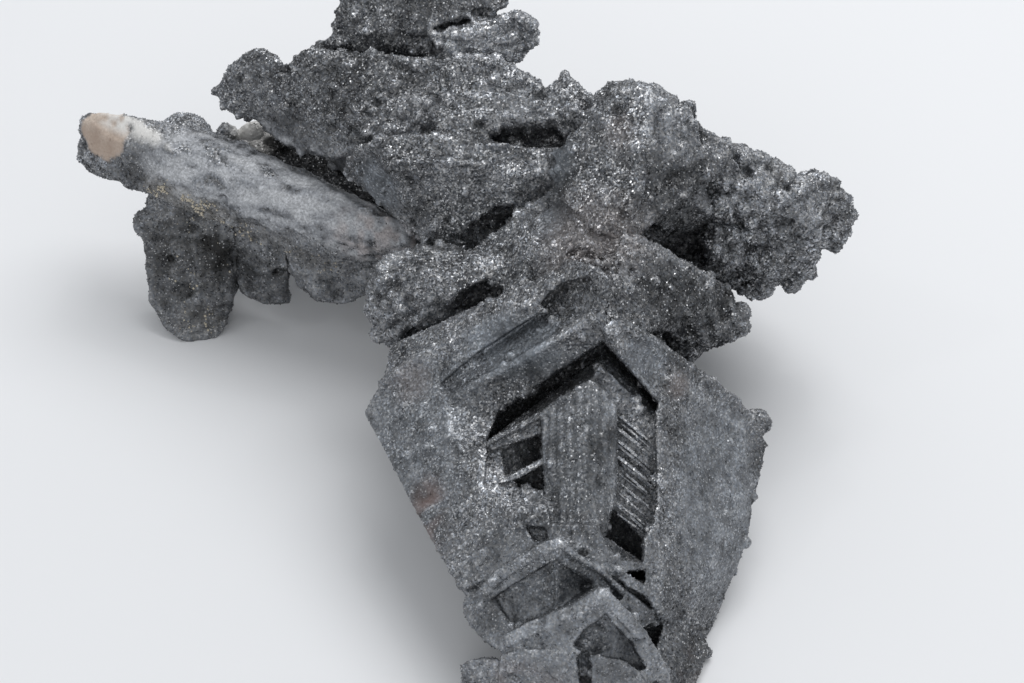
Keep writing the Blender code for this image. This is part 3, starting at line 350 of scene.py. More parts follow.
ARM = 'rod lobe1 lobe1b lobe1root lobe2 lobe3 lobe23root rodknob rodknob2 pale'.split()
FRONT = ('oct1 roofTL roofT R2 R3 TRbar TRrim trk1 trk2 J oct0 oct2 oct3 blade1 blade3 pocklump '
         'rim2L rim2R rim2R2 rim3L rim3R front0 front1 front2 front3 tip Jfoot oct2foot gapRfill').split()
GROUPS = {**{n: 'arm' for n in ARM}, **{n: 'front' for n in FRONT}}
THIN = [q for q in steps if q[3].startswith('fin') or q[3] in ('blade2', 'blade4')]
steps = [q for q in steps if q not in THIN]


# ---------------------------------------------------------------- fields
def hull_planes(pts):
    bm = bmesh.new()
    for p in pts:
        bm.verts.new(p)
    r = bmesh.ops.convex_hull(bm, input=bm.verts[:], use_existing_faces=False)
    junk = {g for g in r['geom_interior'] + r['geom_unused'] if isinstance(g, bmesh.types.BMVert)}
    bmesh.ops.delete(bm, geom=list(junk), context='VERTS')
    bmesh.ops.recalc_face_normals(bm, faces=bm.faces[:])
    c = np.mean([v.co[:] for v in bm.verts], axis=0)
    out = []
    for f in bm.faces:
        n = np.array(f.normal[:])
        if np.linalg.norm(n) < .5:
            continue
        d = float(n @ np.array(f.verts[0].co[:]))
        if n @ c > d:
            n, d = -n, -d
        if not any(m @ n > 0.9999 and abs(e - d) < 0.01 for m, e in out):
            out.append((n, d))
    vs = np.array([v.co[:] for v in bm.verts])
    bm.free()
    return out, vs.min(0), vs.max(0)


class Field:
    def __init__(s, lo, hi, h, far=12.0):
        s.h, s.lo = h, np.array(lo, float)
        n = np.ceil((np.array(hi) - s.lo) / h).astype(int) + 1
        s.axes = [(s.lo[i] + h * np.arange(n[i])).astype(np.float32) for i in range(3)]
        s.d = np.full(n, far, np.float32)

    def window(s, lo, hi, m=5.0):
        return tuple(slice(max(0, int(np.searchsorted(a, l - m))), min(len(a), int(np.searchsorted(a, u + m))))
                     for a, l, u in zip(s.axes, lo, hi))

    def coords(s, w):
        return s.axes[0][w[0]][:, None, None], s.axes[1][w[1]][None, :, None], s.axes[2][w[2]][None, None, :]

    def merge(s, w, d, k, join):
        a = s.d[w]
        if not join:
            d = -d
        r = np.minimum(a, d) if join else np.maximum(a, d)
        if k > 0:
            q = np.maximum(k - np.abs(a - d), 0)
            r = r - q * q * (0.25 / k) if join else r + q * q * (0.25 / k)
        s.d[w] = r

    def run(s, prepared, keep):
        for kind, data, lo, hi, k, name in prepared:
            if kind != 'cut' and not keep(name):
                continue
            w = s.window(lo, hi)
            if any(q.stop <= q.start for q in w):
                continue
            x, y, z = s.coords(w)
            if kind == 'xtal':
                d = s.inside(data[0], x, y, z)
                for pit in data[1]:
                    d = np.maximum(d, -s.inside(pit, x, y, z))
            elif kind == 'ball':
                c, r = data
                q = np.sqrt(((x - c[0]) / r[0]) ** 2 + ((y - c[1]) / r[1]) ** 2 + ((z - c[2]) / r[2]) ** 2)
                d = ((q - 1) * min(r)).astype(np.float32)
            else:
                d = s.inside(data, x, y, z)
            s.merge(w, d, k, kind != 'cut')

    @staticmethod
    def inside(planes, x, y, z):
        d = None
        for n, e in planes:
            g = (np.float32(n[0]) * x + np.float32(n[1]) * y) + (np.float32(n[2]) * z - np.float32(e))
            d = g if d is None else np.maximum(d, g, out=d)
        return d

    def sample(s, p):
        q = (p - s.lo) / s.h
        n = np.array(s.d.shape)
        i = np.clip(np.floor(q).astype(int), 0, n - 2)
        f = np.clip(q - i, 0, 1)
        r = 0
        for c in range(8):
            o = ((c >> 2) & 1, (c >> 1) & 1, c & 1)
            wgt = 1.0
            for a in range(3):
                wgt = wgt * (f[:, a] if o[a] else 1 - f[:, a])
            r = r + wgt * s.d[i[:, 0] + o[0], i[:, 1] + o[1], i[:, 2] + o[2]]
        return r

    def polygons(s):
        g = openvdb.FloatGrid()
        g.copyFromArray(s.d)
        g.transform = openvdb.createLinearTransform(voxelSize=s.h)
        pts, tris, quads = g.convertToPolygons(isovalue=0.0, adaptivity=0.0)
        return pts.astype(np.float64) + s.lo, tris, quads


def prepare():
    out = []
    for kind, data, k, name in steps:
        if kind == 'ball':
            c, r, _ = data
            c, r = np.array(c), np.array(r, float)
            out.append((kind, (c, r), c - r, c + r, k, name))
        elif kind == 'xtal':
            pl, lo, hi = hull_planes(data[0])
            out.append((kind, (pl, [hull_planes(q)[0] for q in data[1]]), lo, hi, k, name))
        else:
            pl, lo, hi = hull_planes(data)
            out.append((kind, pl, lo, hi, k, name))
    return out


def hashed(i, seed):
    h = (i[..., 0] * 374761393 + i[..., 1] * 668265263 + i[..., 2] * 1274126177 + seed * 974634777) & 0xffffffff
    h = ((h ^ (h >> 13)) * 1103515245) & 0xffffffff
    h = ((h ^ (h >> 16)) * 2246822519) & 0xffffffff
    return ((h ^ (h >> 15)) & 0xffffff) / float(0xffffff)


def noise(p, size, seed):
    """Smooth value noise, -1 to 1, one value per lattice cell of `size` mm."""
    q = p / size + 1000.0
    i = np.floor(q).astype(np.int64)
    f = q - i
    f = f * f * (3 - 2 * f)
    r = 0
    for c in range(8):
        o = np.array(((c >> 2) & 1, (c >> 1) & 1, c & 1))
        w = 1.0
        for a in range(3):
            w = w * (f[:, a] if o[a] else 1 - f[:, a])
        r = r + w * hashed(i + o, seed)
    return r * 2 - 1


def cells(p, size, seed):
    """Distance to the nearest of scattered points, in cells, and that point's own random number."""
    q = p / size + 1000.0
    i = np.floor(q).astype(np.int64)
    best = np.full(len(p), 9.0)
    tag = np.zeros(len(p))
    for a in range(-1, 2):
        for b in range(-1, 2):
            for c in range(-1, 2):
                j = i + np.array((a, b, c))
                pt = np.stack([hashed(j, seed + k) for k in (1, 2, 3)], axis=-1) + j
                d = np.sqrt(((pt - q) ** 2).sum(-1))
                m = d < best
                best = np.where(m, d, best)
                tag = np.where(m, hashed(j, seed + 4), tag)
    return best, tag


def smooth(a, b, x):
    t = np.clip((x - a) / (b - a), 0, 1)
    return t * t * (3 - 2 * t)


def near(p, c, r, soft=0.35):
    """1 inside an ellipsoid round c, fading to 0 outside it."""
    q = np.sqrt((((p - np.array(c)) / np.array(r)) ** 2).sum(-1))
    return 1 - smooth(1 - soft, 1 + soft, q)


def warp(p, amount):
    """Slow waves that take the ruled look off the facets."""
    v = amount * np.stack([noise(p, 14, 11 + a) * 0.6 + noise(p, 5, 31 + a) * 0.4 for a in range(3)], axis=-1)
    v[:, 2] *= smooth(0.0, 5.0, p[:, 2])
    return v


def along(p, a, b, r):
    """1 on the line from a to b, falling to 0 at the distance r from it."""
    a, b = np.array(a, float), np.array(b, float)
    t = np.clip(((p - a) @ (b - a)) / ((b - a) @ (b - a)), 0, 1)
    q = np.linalg.norm(p - a - t[:, None] * (b - a), axis=1)
    return smooth(1, .35, q / r)


def masks(p, n):
    """How granular, dusty, smooth or stained each point is, and its tone with painted light and shade, by where it lies
    on the specimen.
    """
    m = {}
    m['sleek'] = np.maximum.reduce([
        near(p, Z(378, 185, 49), (5, 6, 6)) * smooth(-.2, .3, -n[:, 0] + n[:, 2] * .3),
        near(p, on(TL, 520, 347, -8), (15, 6, 6)),
        near(p, on(TL, 470, 378, -8), (7, 4, 5)) * .6,
        near(p, P(580, 450, 95), (7.5, 14, 14)) * .3,
        near(p, P(545, 590, 115), (9, 6, 6)) * .4,
        near(p, P(585, 590, 115), (5, 5, 6)) * .5,
        near(p, P(620, 640, 130), (5, 6, 6)) * .4,
        near(p, P(710, 500, -10), (9, 20, 20)) * .5,
        near(p, P(415, 455, 10), (11, 18, 18)) * .5,
        near(p, P(560, 610, 112), (21, 15, 20), .6) * .3,
        near(p, Z(562, 165, 65), (3.6, 5, 5)),
        near(p, on(TR, 640, 365, 3), (6, 6, 5)) * .6,
        near(p, Z(560, 222, 58), (4, 4, 5)) * .6,
    ])
    m['dust'] = np.clip(near(p, Z(225, 170, 42), (24, 11, 9), .25) + near(p, Z(300, 195, 39), (20, 10, 8), .3) + near(p, Z(370, 232, 36), (12, 9, 7), .3), 0, 1) * smooth(-.15, .5, n[:, 2] * .8 - n[:, 1] * .3)
    m['pink'] = near(p, Z(385, 240, 35), (11, 7, 7), .4) * smooth(-.15, .4, n[:, 2] * .8 - n[:, 1] * .3)
    m['tan'] = smooth(.35, .6, near(p, Z(103, 134, 41), (6.2, 5.2, 5.6), .3) + .22 * noise(p, 1.6, 107) + .1 * noise(p, .7, 108))
    m['white'] = np.maximum(along(p, Z(104, 115, 45), Z(150, 134, 45), 3.8), .9 * along(p, Z(150, 134, 45), Z(172, 147, 45), 2.8))
    m['cream'] = np.clip(along(p, Z(160, 190, 33), Z(215, 205, 32), 5.5) + .45 * along(p, Z(215, 210, 30), Z(330, 262, 24), 6) + .35 * near(p, Z(200, 325, 3), (5, 5, 5), .5) + .12 * near(p, Z(190, 250, 18), (10, 9, 12), .5) + .5 * near(p, Z(780, 176, 57), (2, 2, 2), .5), 0, 1)
    # quieter, evenly grained ground
    m['soft'] = .85 * np.clip(near(p, Z(240, 190, 38), (40, 18, 14), .3) + near(p, Z(240, 275, 14), (32, 16, 20), .3) + near(p, P(560, 610, 118), (24, 19, 22), .3) * .7 + near(p, P(555, 680, 120), (26, 12, 20), .3) * .8 + .55 * near(p, P(580, 450, 95), (9, 16, 16), .3), 0, 1)
    m['stain'] = np.clip(near(p, P(430, 513, 40), (3.4, 6, 5), .6) + near(p, P(672, 668, 10), (4.5, 6, 6), .5) + near(p, P(530, 690, 110), (12, 5, 6), .5) * .4, 0, 1)
    m['rosy'] = np.clip(near(p, Z(590, 240, 60), (10, 8, 8), .6) * .8 + near(p, on(TL, 412, 382, 0), (4, 4, 4), .6) * .7 + near(p, Z(617, 128, 77), (3, 4, 4), .5) * .7 + near(p, on(TR, 676, 385, 2), (2.4, 2.4, 2.4), .6), 0, 1)
    m['knobby'] = np.maximum.reduce([near(p, Z(775, 222, 44), (18, 15, 18), .25), .8 * near(p, Z(412, 300, 36), (11, 9, 9), .3), near(p, Z(706, 325, 38), (9, 5, 7), .3),
                                     .8 * near(p, Z(500, 40, 68), (12, 5, 5), .3), .7 * near(p, Z(440, 120, 58), (30, 3, 4), .3), .7 * near(p, Z(672, 104, 75), (9, 5, 4), .3)])
    c, tag = cells(p, 1.5, 93)
    tone_and_painted_light = 1.0 + .16 * noise(p, 10, 91) + .23 * noise(p, 4.5, 92) + .25 * noise(p, 2.0, 94) + .45 * (tag - .5)
    # local lighter and darker patches, partly the stone's own tone and partly painted light and shade: painted shade in
    # the deep gap behind the rod, between the lobes and on the ledge under the pocket's overhang; painted highlights on
    # the lip of slab A and in small sparkle clusters in the pocket
    for c, r, v in ((Z(360, 90, 60), (22, 10, 10), -.2), (Z(562, 165, 65), (5, 6, 6), -.4), (Z(680, 205, 54), (8, 7, 8), -.25), (Z(675, 295, 48), (13, 9, 9), -.3),
                    (P(580, 450, 95), (8, 15, 15), -.2), (P(585, 590, 115), (6, 5, 6), -.3), (Z(190, 270, 15), (12, 8, 16), -.25), (Z(260, 270, 14), (8, 6, 10), -.2),
                    (on(TL, 455, 345, 4), (14, 5, 5), .25), (on(TL, 520, 347, -8), (15, 6, 6), -.12), (Z(640, 140, 74), (12, 9, 9), .15), (P(484, 480, 90), (3, 6, 6), .2),
                    (on(TR, 640, 410, -10), (4, 6, 6), .35), (P(450, 425, 60), (4, 5, 5), .3), (P(540, 668, 118), (12, 5, 6), .15)):
        tone_and_painted_light = tone_and_painted_light + v * near(p, c, r, .5)
    for c, r, v in ((Z(450, 195, 52), (24, 8, 8), .15), (Z(765, 225, 45), (18, 14, 16), .3), (Z(410, 295, 36), (11, 8, 9), .35), (Z(480, 45, 67), (14, 8, 6), .5),
                    (Z(350, 90, 58), (22, 10, 9), -.15), (Z(690, 300, 44), (12, 8, 8), -.2), (P(580, 450, 95), (8, 15, 15), -.1), (Z(640, 150, 72), (12, 10, 10), -.1), (Z(190, 270, 15), (12, 8, 16), -.12), (on(TR, 636, 480, -10), (5, 12, 12), .62), (Z(340, 272, 18), (8, 7, 8), .2), (P(560, 668, 118), (17, 7, 11), .12), (Z(760, 200, 55), (8, 5, 7), .18), (Z(550, 110, 65), (10, 4, 5), .3), (Z(535, 176, 58), (7, 5, 6), .25), (Z(684, 132, 73), (5, 4, 4), .25), (on(TL, 516, 478, -16), (7, 7, 8), .4), (P(611, 400, 80), (2.5, 4, 4), .55), (P(612, 645, 132), (8, 8, 9), .2), (Z(480, 40, 68), (12, 7, 6), .2), (P(715, 475, -10), (9, 12, 14), .08), (on(TL, 430, 460, 0), (7, 9, 9), .08),
                    (P(700, 540, -5), (8, 12, 14), .15), (Z(300, 165, 24), (16, 7, 6), -.4), (Z(380, 208, 18), (9, 5, 6), -.35), (Z(215, 260, 14), (3.5, 6, 10), -.4),
                    (on(TL, 550, 395, -34), (13, 5, 6), -.4)):
        tone_and_painted_light = tone_and_painted_light + v * near(p, c, r, .5)
    # painted highlight on proud edges, painted shade in creases and in the gaps between knobs
    tone_and_painted_light = np.clip(tone_and_painted_light, .15, 3) * (1 + .42 * np.clip(field_all.sample(p) / .6, -1, 1)) * (1 - .12 * m['knobby'] - .5 * m['knobby'] * smooth(.45, .95, cells(p, 2.3, 80)[0]))
    # painted top light: faces turned up lighter, faces turned down darker
    tone_and_painted_light = tone_and_painted_light * (.84 + .28 * np.clip(n[:, 2], -.5, 1))
    # painted shade: darker in the deep gap behind the rod and in hollows and under overhangs elsewhere; in the gap only
    # on faces turned up and to the front
    painted_shade_facing = smooth(-.25, .35, .7 * n[:, 2] - .7 * n[:, 1])
    for c, r, v in ((Z(290, 157, 27), (24, 9, 9), .8 * painted_shade_facing), (Z(385, 208, 20), (12, 8, 9), .8 * painted_shade_facing), (Z(673, 202, 63), (6.5, 6, 7), .22), (Z(423, 12, 71), (5, 3.5, 4), .5), (Z(660, 324, 49), (4, 3.5, 4), .35), (Z(430, 252, 48), (8, 5, 6), .22), (on(TL, 468, 446, 0), (3.5, 4, 4), .25), (Z(252, 156, 42.2), (4.5, 3, 3), .45), (Z(756, 178, 57), (5, 3, 4), .25), (Z(686, 222, 56), (5, 4, 5), .35), (Z(695, 243, 44), (7, 6, 7), .6),
                    (Z(380, 175, 52), (9, 5, 8), .25), (Z(640, 190, 66), (6, 6, 6), .1), (Z(725, 268, 34), (9, 7, 6), .4), (Z(700, 314, 47), (6, 5, 6), .3), (Z(762, 248, 45), (11, 7, 8), .18), (Z(190, 270, 15), (9, 10, 14), .16), (Z(700, 325, 38), (9, 7, 7), .3)):
        tone_and_painted_light = tone_and_painted_light * (1 - v * near(p, c, r, .4))
    # small lighter and darker places, each about 4 mm across
    for c, v in ((Z(396, 60, 66.2), .3), (Z(588, 108, 68.4), .3), (Z(612, 394, 45), .3), (Z(706, 276, 51), .3), (Z(538, 276, 56), .25), (Z(492, 228, 39), .3),
                 (Z(732, 228, 49), .3), (Z(636, 589, 25.5), .3), (Z(372, 277, 41), -.25), (Z(276, 276, 15.7), -.3), (Z(586, 541, 35.6), -.22), (Z(635, 539, 16), .3),
                 (Z(540, 420, 42.7), .25), (Z(612, 516, 21.6), .2), (Z(516, 444, 35), .25), (Z(156, 204, 27), .2), (Z(708, 252, 45.7), .25)):
        tone_and_painted_light = tone_and_painted_light * (1 + v * near(p, c, (3.3, 3.3, 3.3), .6))
    # painted highlights along the crystal rims, the rib's edge, the bar's rim and other proud edges
    for a, b, r, v in ((on(TL, 470, 388, 0), on(TL, 598, 313, 3), 1.3, .5), (on(TL, 395, 375, 4), on(TL, 530, 305, 6), 2.2, .25), (P(486, 588, 114), P(559, 543, 160), 1.9, .4),
                       (P(561, 543, 160), P(662, 612, 96), 1.9, .35), (P(512, 638, 128), P(602, 595, 184), 2.2, .45), (P(603, 596, 184), P(662, 672, 120), 2.2, .3),
                       (on(TL, 500, 431, -9), P(591, 382, 90), 1.0, .4), (on(TR, 606, 326, 12), on(TR, 758, 436, -2), 2.0, .35), (on(TL, 486, 440, -2), on(TL, 484, 508, -2), 2.0, .3),
                       (on(TL, 445, 398, 2), on(TL, 446, 432, 2), 1.6, .35), (P(575, 545, 150), P(592, 529, 110), 1.0, .3), (Z(516, 219, 54), Z(553, 195, 60.3), 2.2, .4)):
        tone_and_painted_light = tone_and_painted_light * (1 + v * along(p, a, b, r))
    # painted shade in the hopper hollows, the pocket, the terrace and by the crystal's lower tip
    for c, r, v in ((P(565, 585, 118), (9, 6, 8), .1), (P(618, 645, 130), (5, 7, 7), .25), (P(680, 655, 20), (9, 8, 8), .45),
                    (P(548, 475, 60), (8, 7, 9), .2), (on(TL, 470, 378, -8), (9, 4, 5), .15)):
        tone_and_painted_light = tone_and_painted_light * (1 - v * near(p, c, r, .5))
    m['tone_and_painted_light'] = tone_and_painted_light
    # strength of the painted facet brightness and painted glints, which also scales the facets' tilt
    m['painted_sparkle_and_tilt'] = np.clip(.85 + .4 * noise(p, 7, 103) + .3 * noise(p, 3, 104) + .35 * near(p, Z(450, 190, 52), (26, 9, 9), .5) + .35 * near(p, Z(765, 230, 44), (16, 12, 14), .5), .35, 1.3) * (1 - .25 * near(p, P(720, 500, -10), (10, 22, 22))) * (1 - .62 * m['soft'])
    m['patch'] = .5 + .5 * noise(p, 3.0, 97)
    # the film on the bar lies in streaks that follow its length
    q = p - .62 * (p @ np.array((.894, -.447, -.04)))[:, None] * np.array((.894, -.447, -.04))
    streak = noise(q, 1.5, 109) + .6 * noise(q, 3.4, 110)
    m['patch'] = m['patch'] + (np.clip(.5 + .95 * streak, 0, 1) - m['patch']) * np.clip(m['dust'] * 2, 0, 1)
    m['dust'] = m['dust'] * smooth(-.75, .15, streak + .5 * noise(p, .9, 106))
    m['pink'] = m['pink'] * smooth(-.5, .3, noise(p, 1.8, 99))
    m['stain'] = m['stain'] * smooth(-.6, .4, noise(p, 2.2, 101))
    m['white'] = np.maximum(m['white'] * smooth(-.9, -.1, noise(p, 1.8, 102)) * smooth(-.4, .1, n[:, 2]), near(p, Z(249, 131, 33), (4.4, 5.5, 4.5), .7))
    return m


# ---------------------------------------------------------------- the body
H = {'front': .42, 'rear': .5, 'arm': .5}
BODY_TRIS = {'front': 176000, 'rear': 192000, 'arm': 64000}
ready = prepare()
FLOOR_CUT = [np.array((0, 0, 1.0)), 0.0]
LO, HI = np.array((-98, -100, -2.4)), np.array((75, 100, 92))


def shape(which, h):
    lo, hi = np.full(3, 1e9), np.full(3, -1e9)
    for kind, data, l, u, k, name in ready:
        if kind != 'cut' and (which is None or GROUPS.get(name, 'rear') == which):
            lo, hi = np.minimum(lo, l), np.maximum(hi, u)
    lo[2] = max(lo[2], 0.0)
    f = Field(lo - 2.4, hi + 2.4, h)
    f.run(ready, (lambda name: True) if which is None else (lambda name: GROUPS.get(name, 'rear') == which))
    x, y, z = f.coords((slice(None),) * 3)
    f.d = np.maximum(f.d, (-z).astype(np.float32))
    return f


def mesh_object(name, pts, faces_list):
    me = bpy.data.meshes.new(name)
    me.vertices.add(len(pts))
    me.vertices.foreach_set('co', pts.astype(np.float32).ravel())
    loops = np.concatenate([f.ravel() for f in faces_list]).astype(np.int32)
    sizes = np.concatenate([np.full(len(f), f.shape[1]) for f in faces_list])
    starts = np.concatenate([[0], np.cumsum(sizes)[:-1]]).astype(np.int32)
    me.loops.add(len(loops))
    me.loops.foreach_set('vertex_index', loops)
    me.polygons.add(len(sizes))
    me.polygons.foreach_set('loop_start', starts)
    me.update(calc_edges=True)
    me.validate()
    ob = bpy.data.objects.new(name, me)
    bpy.context.scene.collection.objects.link(ob)
    return ob


def apply_modifiers(ob):
    dg = bpy.context.evaluated_depsgraph_get()
    me = bpy.data.meshes.new_from_object(ob.evaluated_get(dg))
    ob.modifiers.clear()
    old = ob.data
    ob.data = me
    bpy.data.meshes.remove(old)


def coords_of(me):
    co = np.empty(len(me.vertices) * 3, np.float32)
    me.vertices.foreach_get('co', co)
    no = np.empty(len(me.vertices) * 3, np.float32)
    me.vertices.foreach_get('normal', no)
    return co.reshape(-1, 3).astype(np.float64), no.reshape(-1, 3).astype(np.float64)


def relief(p, n, m, which):
    """Height of the granular skin over the plain facets, in mm."""
    rough = 1 - 0.8 * np.clip(m['sleek'] + .3 * m['dust'] + .6 * m['tan'] + m['white'] * .5, 0, 1)
    c, tag = cells(p, 1.05, 60)
    grain = (0.5 - np.clip(c, 0, 1)) * (0.6 + 0.8 * tag)
    if which == 'front':
        d = 0.10 * noise(p, 2.3, 51) + 0.10 * noise(p, 1.1, 52) + 0.2 * grain
        d -= .5 * smooth(0.55, 0.85, noise(p, 2.6, 71))
        # soft upright striations on the standing rib
        col = 512 + (p[:, 0] / STEP) / (1 - ((-p[:, 1] * C + (p[:, 2] - GRID_Z) * S) / STEP) / STATION)
        rib = near(p, P(582, 455, 92), (8.5, 15, 15), .25)
        right = near(p, P(715, 490, -5), (13, 22, 22), .4)
        d = d + right * (.27 * noise(p * np.array((1, .35, .35)), 1.7, 79) + .18 * noise(p * np.array((1, .3, .3)), 3.2, 85))
        d = d * (1 - .5 * rib) + rib * (.15 * np.sin(col * .72 + 1.5 * noise(p, 5, 77)) + .2 * noise(p * np.array((1, .3, .3)), 1.3, 78) + .16 * grain)
        return d * rough
    big = 1.9 if which == 'arm' else 1.0
    d = .26 * big * noise(p, 3.1, 51) + (.2 * big ** .7) * noise(p, 1.4, 52) + 0.26 * grain
    d -= 1.0 * smooth(0.5, 0.85, noise(p, 3.3, 71))
    k, ktag = cells(p, 2.3, 80)
    d += .5 * m['knobby'] * (0.7 - 1.4 * k * k)
    if which == 'rear':
        # stepped growth on the dome and the slabs: low ridges a few tenths of a millimetre high
        t = (p @ np.array((.45, .55, .7)) + .8 * noise(p, 8, 95)) / 1.9
        d += .16 * (np.abs((t % 1) - .5) * 2 - .5) * smooth(.1, .5, noise(p, 13, 96) + .25)
    return d * rough


field_all = shape(None, 1.0)


def spots(p, weight, gap, seed, most=40000):
    """Places on a surface at least `gap` apart, denser where the weight is higher."""
    rng = np.random.default_rng(seed)
    i = np.flatnonzero(weight > rng.random(len(p)))
    i = rng.permutation(i)[:most]
    taken, out = {}, []
    for j in i:
        q = p[j]
        key = tuple(int(v) for v in q // gap)
        if any((q - o) @ (q - o) < gap * gap for a in (-1, 0, 1) for b in (-1, 0, 1) for c in (-1, 0, 1)
               for o in taken.get((key[0] + a, key[1] + b, key[2] + c), ())):
            continue
        taken.setdefault(key, []).append(q)
        out.append(j)
    return np.array(out)


def make_body(which):
    f = shape(which, H[which])
    pts, tris, quads = f.polygons()
    if which != 'arm':
        i = np.arange(0, len(pts), 2)
        e = f.h
        m = masks(pts[i], np.zeros((len(i), 3)))
        w = np.clip(m['knobby'] * 1.3, 0, 1) * (pts[i][:, 2] > 2.5)
        if which == 'rear':
            w = np.maximum(w, .012)
        if which == 'front':
            w = np.maximum(w * 0, .0012)
        rng = np.random.default_rng(7)
        n_k = 0
        for gap in (2.8, 1.8, 1.3):
            for j in spots(pts[i], np.maximum(w - .35, 0) if gap > 2.5 else w * .8, gap, 70 + int(gap * 10)):
                r = gap * (.46 + .18 * rng.random())
                rr = r * (.85 + .3 * rng.random(3))
                c = pts[i][j]
                win = f.window(c - r, c + r, 1.6)
                x, y, z = f.coords(win)
                q = np.sqrt(((x - c[0]) / rr[0]) ** 2 + ((y - c[1]) / rr[1]) ** 2 + ((z - c[2]) / rr[2]) ** 2)
                f.merge(win, ((q - 1) * min(rr)).astype(np.float32), .2, True)
                n_k += 1
        x, y, z = f.coords((slice(None),) * 3)
        f.d = np.maximum(f.d, (-z).astype(np.float32))
        pts, tris, quads = f.polygons()
        print(which, 'knobs', n_k, round(time.time() - T0, 1))
    ob = mesh_object('hematite_' + which, pts, [quads] + ([tris] if len(tris) else []))
    p, n = coords_of(ob.data)
    m = masks(p, n)
    d = relief(p, n, m, which)
    keep = smooth(0.3, 2.0, p[:, 2])
    q = p + warp(p, {'front': .22, 'arm': .8, 'rear': .9}[which]) + n * (d * keep)[:, None]
    q[:, 2] = np.where(p[:, 2] < 0.3, np.maximum(p[:, 2], 0.0), np.maximum(q[:, 2], 0.02))
    ob.data.vertices.foreach_set('co', q.astype(np.float32).ravel())
    ob.data.update()
    tri = 2 * len(quads) + len(tris)
    print(which, 'triangles', tri)
    if tri > BODY_TRIS[which]:
        dec = ob.modifiers.new('dec', 'DECIMATE')
        dec.ratio = BODY_TRIS[which] / tri
        dec.use_collapse_triangulate = True
        apply_modifiers(ob)
    return ob


def thin_plates():
    """Fins and blades in the pocket, too thin for the grid: small closed wedges."""
    bm = bmesh.new()
    for kind, pts, k, name in THIN:
        one = bmesh.new()
        for q in pts:
            one.verts.new(q)
        r = bmesh.ops.convex_hull(one, input=one.verts[:], use_existing_faces=False)
        bmesh.ops.delete(one, geom=list({g for g in r['geom_interior'] + r['geom_unused'] if isinstance(g, bmesh.types.BMVert)}), context='VERTS')
        bmesh.ops.recalc_face_normals(one, faces=one.faces[:])
        bmesh.ops.triangulate(one, faces=one.faces[:])
        bmesh.ops.subdivide_edges(one, edges=[e for e in one.edges if e.calc_length() > 1.2], cuts=5, use_grid_fill=True)
        bmesh.ops.triangulate(one, faces=one.faces[:])
        me = bpy.data.meshes.new('t')
        one.to_mesh(me)
        bm.from_mesh(me)
        bpy.data.meshes.remove(me)
        one.free()
    me = bpy.data.meshes.new('pocket_plates')
    bm.to_mesh(me)
    bm.free()
    ob = bpy.data.objects.new('pocket_plates', me)
    bpy.context.scene.collection.objects.link(ob)
    p, n = coords_of(me)
    q = p + n * (.07 * noise(p, .8, 53) + .06 * noise(p, 2.0, 54))[:, None]
    me.vertices.foreach_set('co', q.astype(np.float32).ravel())
    me.update()
    return ob


# ---------------------------------------------------------------- materials
def nodes_of(name):
    mat = bpy.data.materials.new(name)
    mat.use_nodes = True
    return mat, mat.node_tree, mat.node_tree.nodes['Principled BSDF']


def N(tree, kind, **kw):
    n = tree.nodes.new(kind)
    for k, v in kw.items():
        setattr(n, k, v)
    return n


def L(tree, a, b):
    tree.links.new(a, b)


def attr(tree, name):
    return N(tree, 'ShaderNodeAttribute', attribute_name=name).outputs['Fac']


def mixc(tree, fac, a, b, mode='MIX'):
    n = N(tree, 'ShaderNodeMix', data_type='RGBA', blend_type=mode)
    for sock, v in ((n.inputs[0], fac), (n.inputs[6], a), (n.inputs[7], b)):
        if hasattr(v, 'links'):
            L(tree, v, sock)
        else:
            sock.default_value = v
    return n.outputs[2]


def ramp(tree, fac, a, b, lo=0.0, hi=1.0):
    n = N(tree, 'ShaderNodeMapRange')
    L(tree, fac, n.inputs['Value'])
    n.inputs['From Min'].default_value, n.inputs['From Max'].default_value = a, b
    n.inputs['To Min'].default_value, n.inputs['To Max'].default_value = lo, hi
    return n.outputs['Result']


def math2(tree, op, a, b):
    n = N(tree, 'ShaderNodeMath', operation=op)
    for sock, v in ((n.inputs[0], a), (n.inputs[1], b)):
        if hasattr(v, 'links'):
            L(tree, v, sock)
        else:
            sock.default_value = v
    return n.outputs[0]


def noise_tex(tree, co, mm, detail=3.0, rough=.6):
    n = N(tree, 'ShaderNodeTexNoise')
    L(tree, co, n.inputs['Vector'])
    n.inputs['Scale'].default_value = 1000.0 / mm
    n.inputs['Detail'].default_value = detail
    n.inputs['Roughness'].default_value = rough
    return n.outputs['Fac']


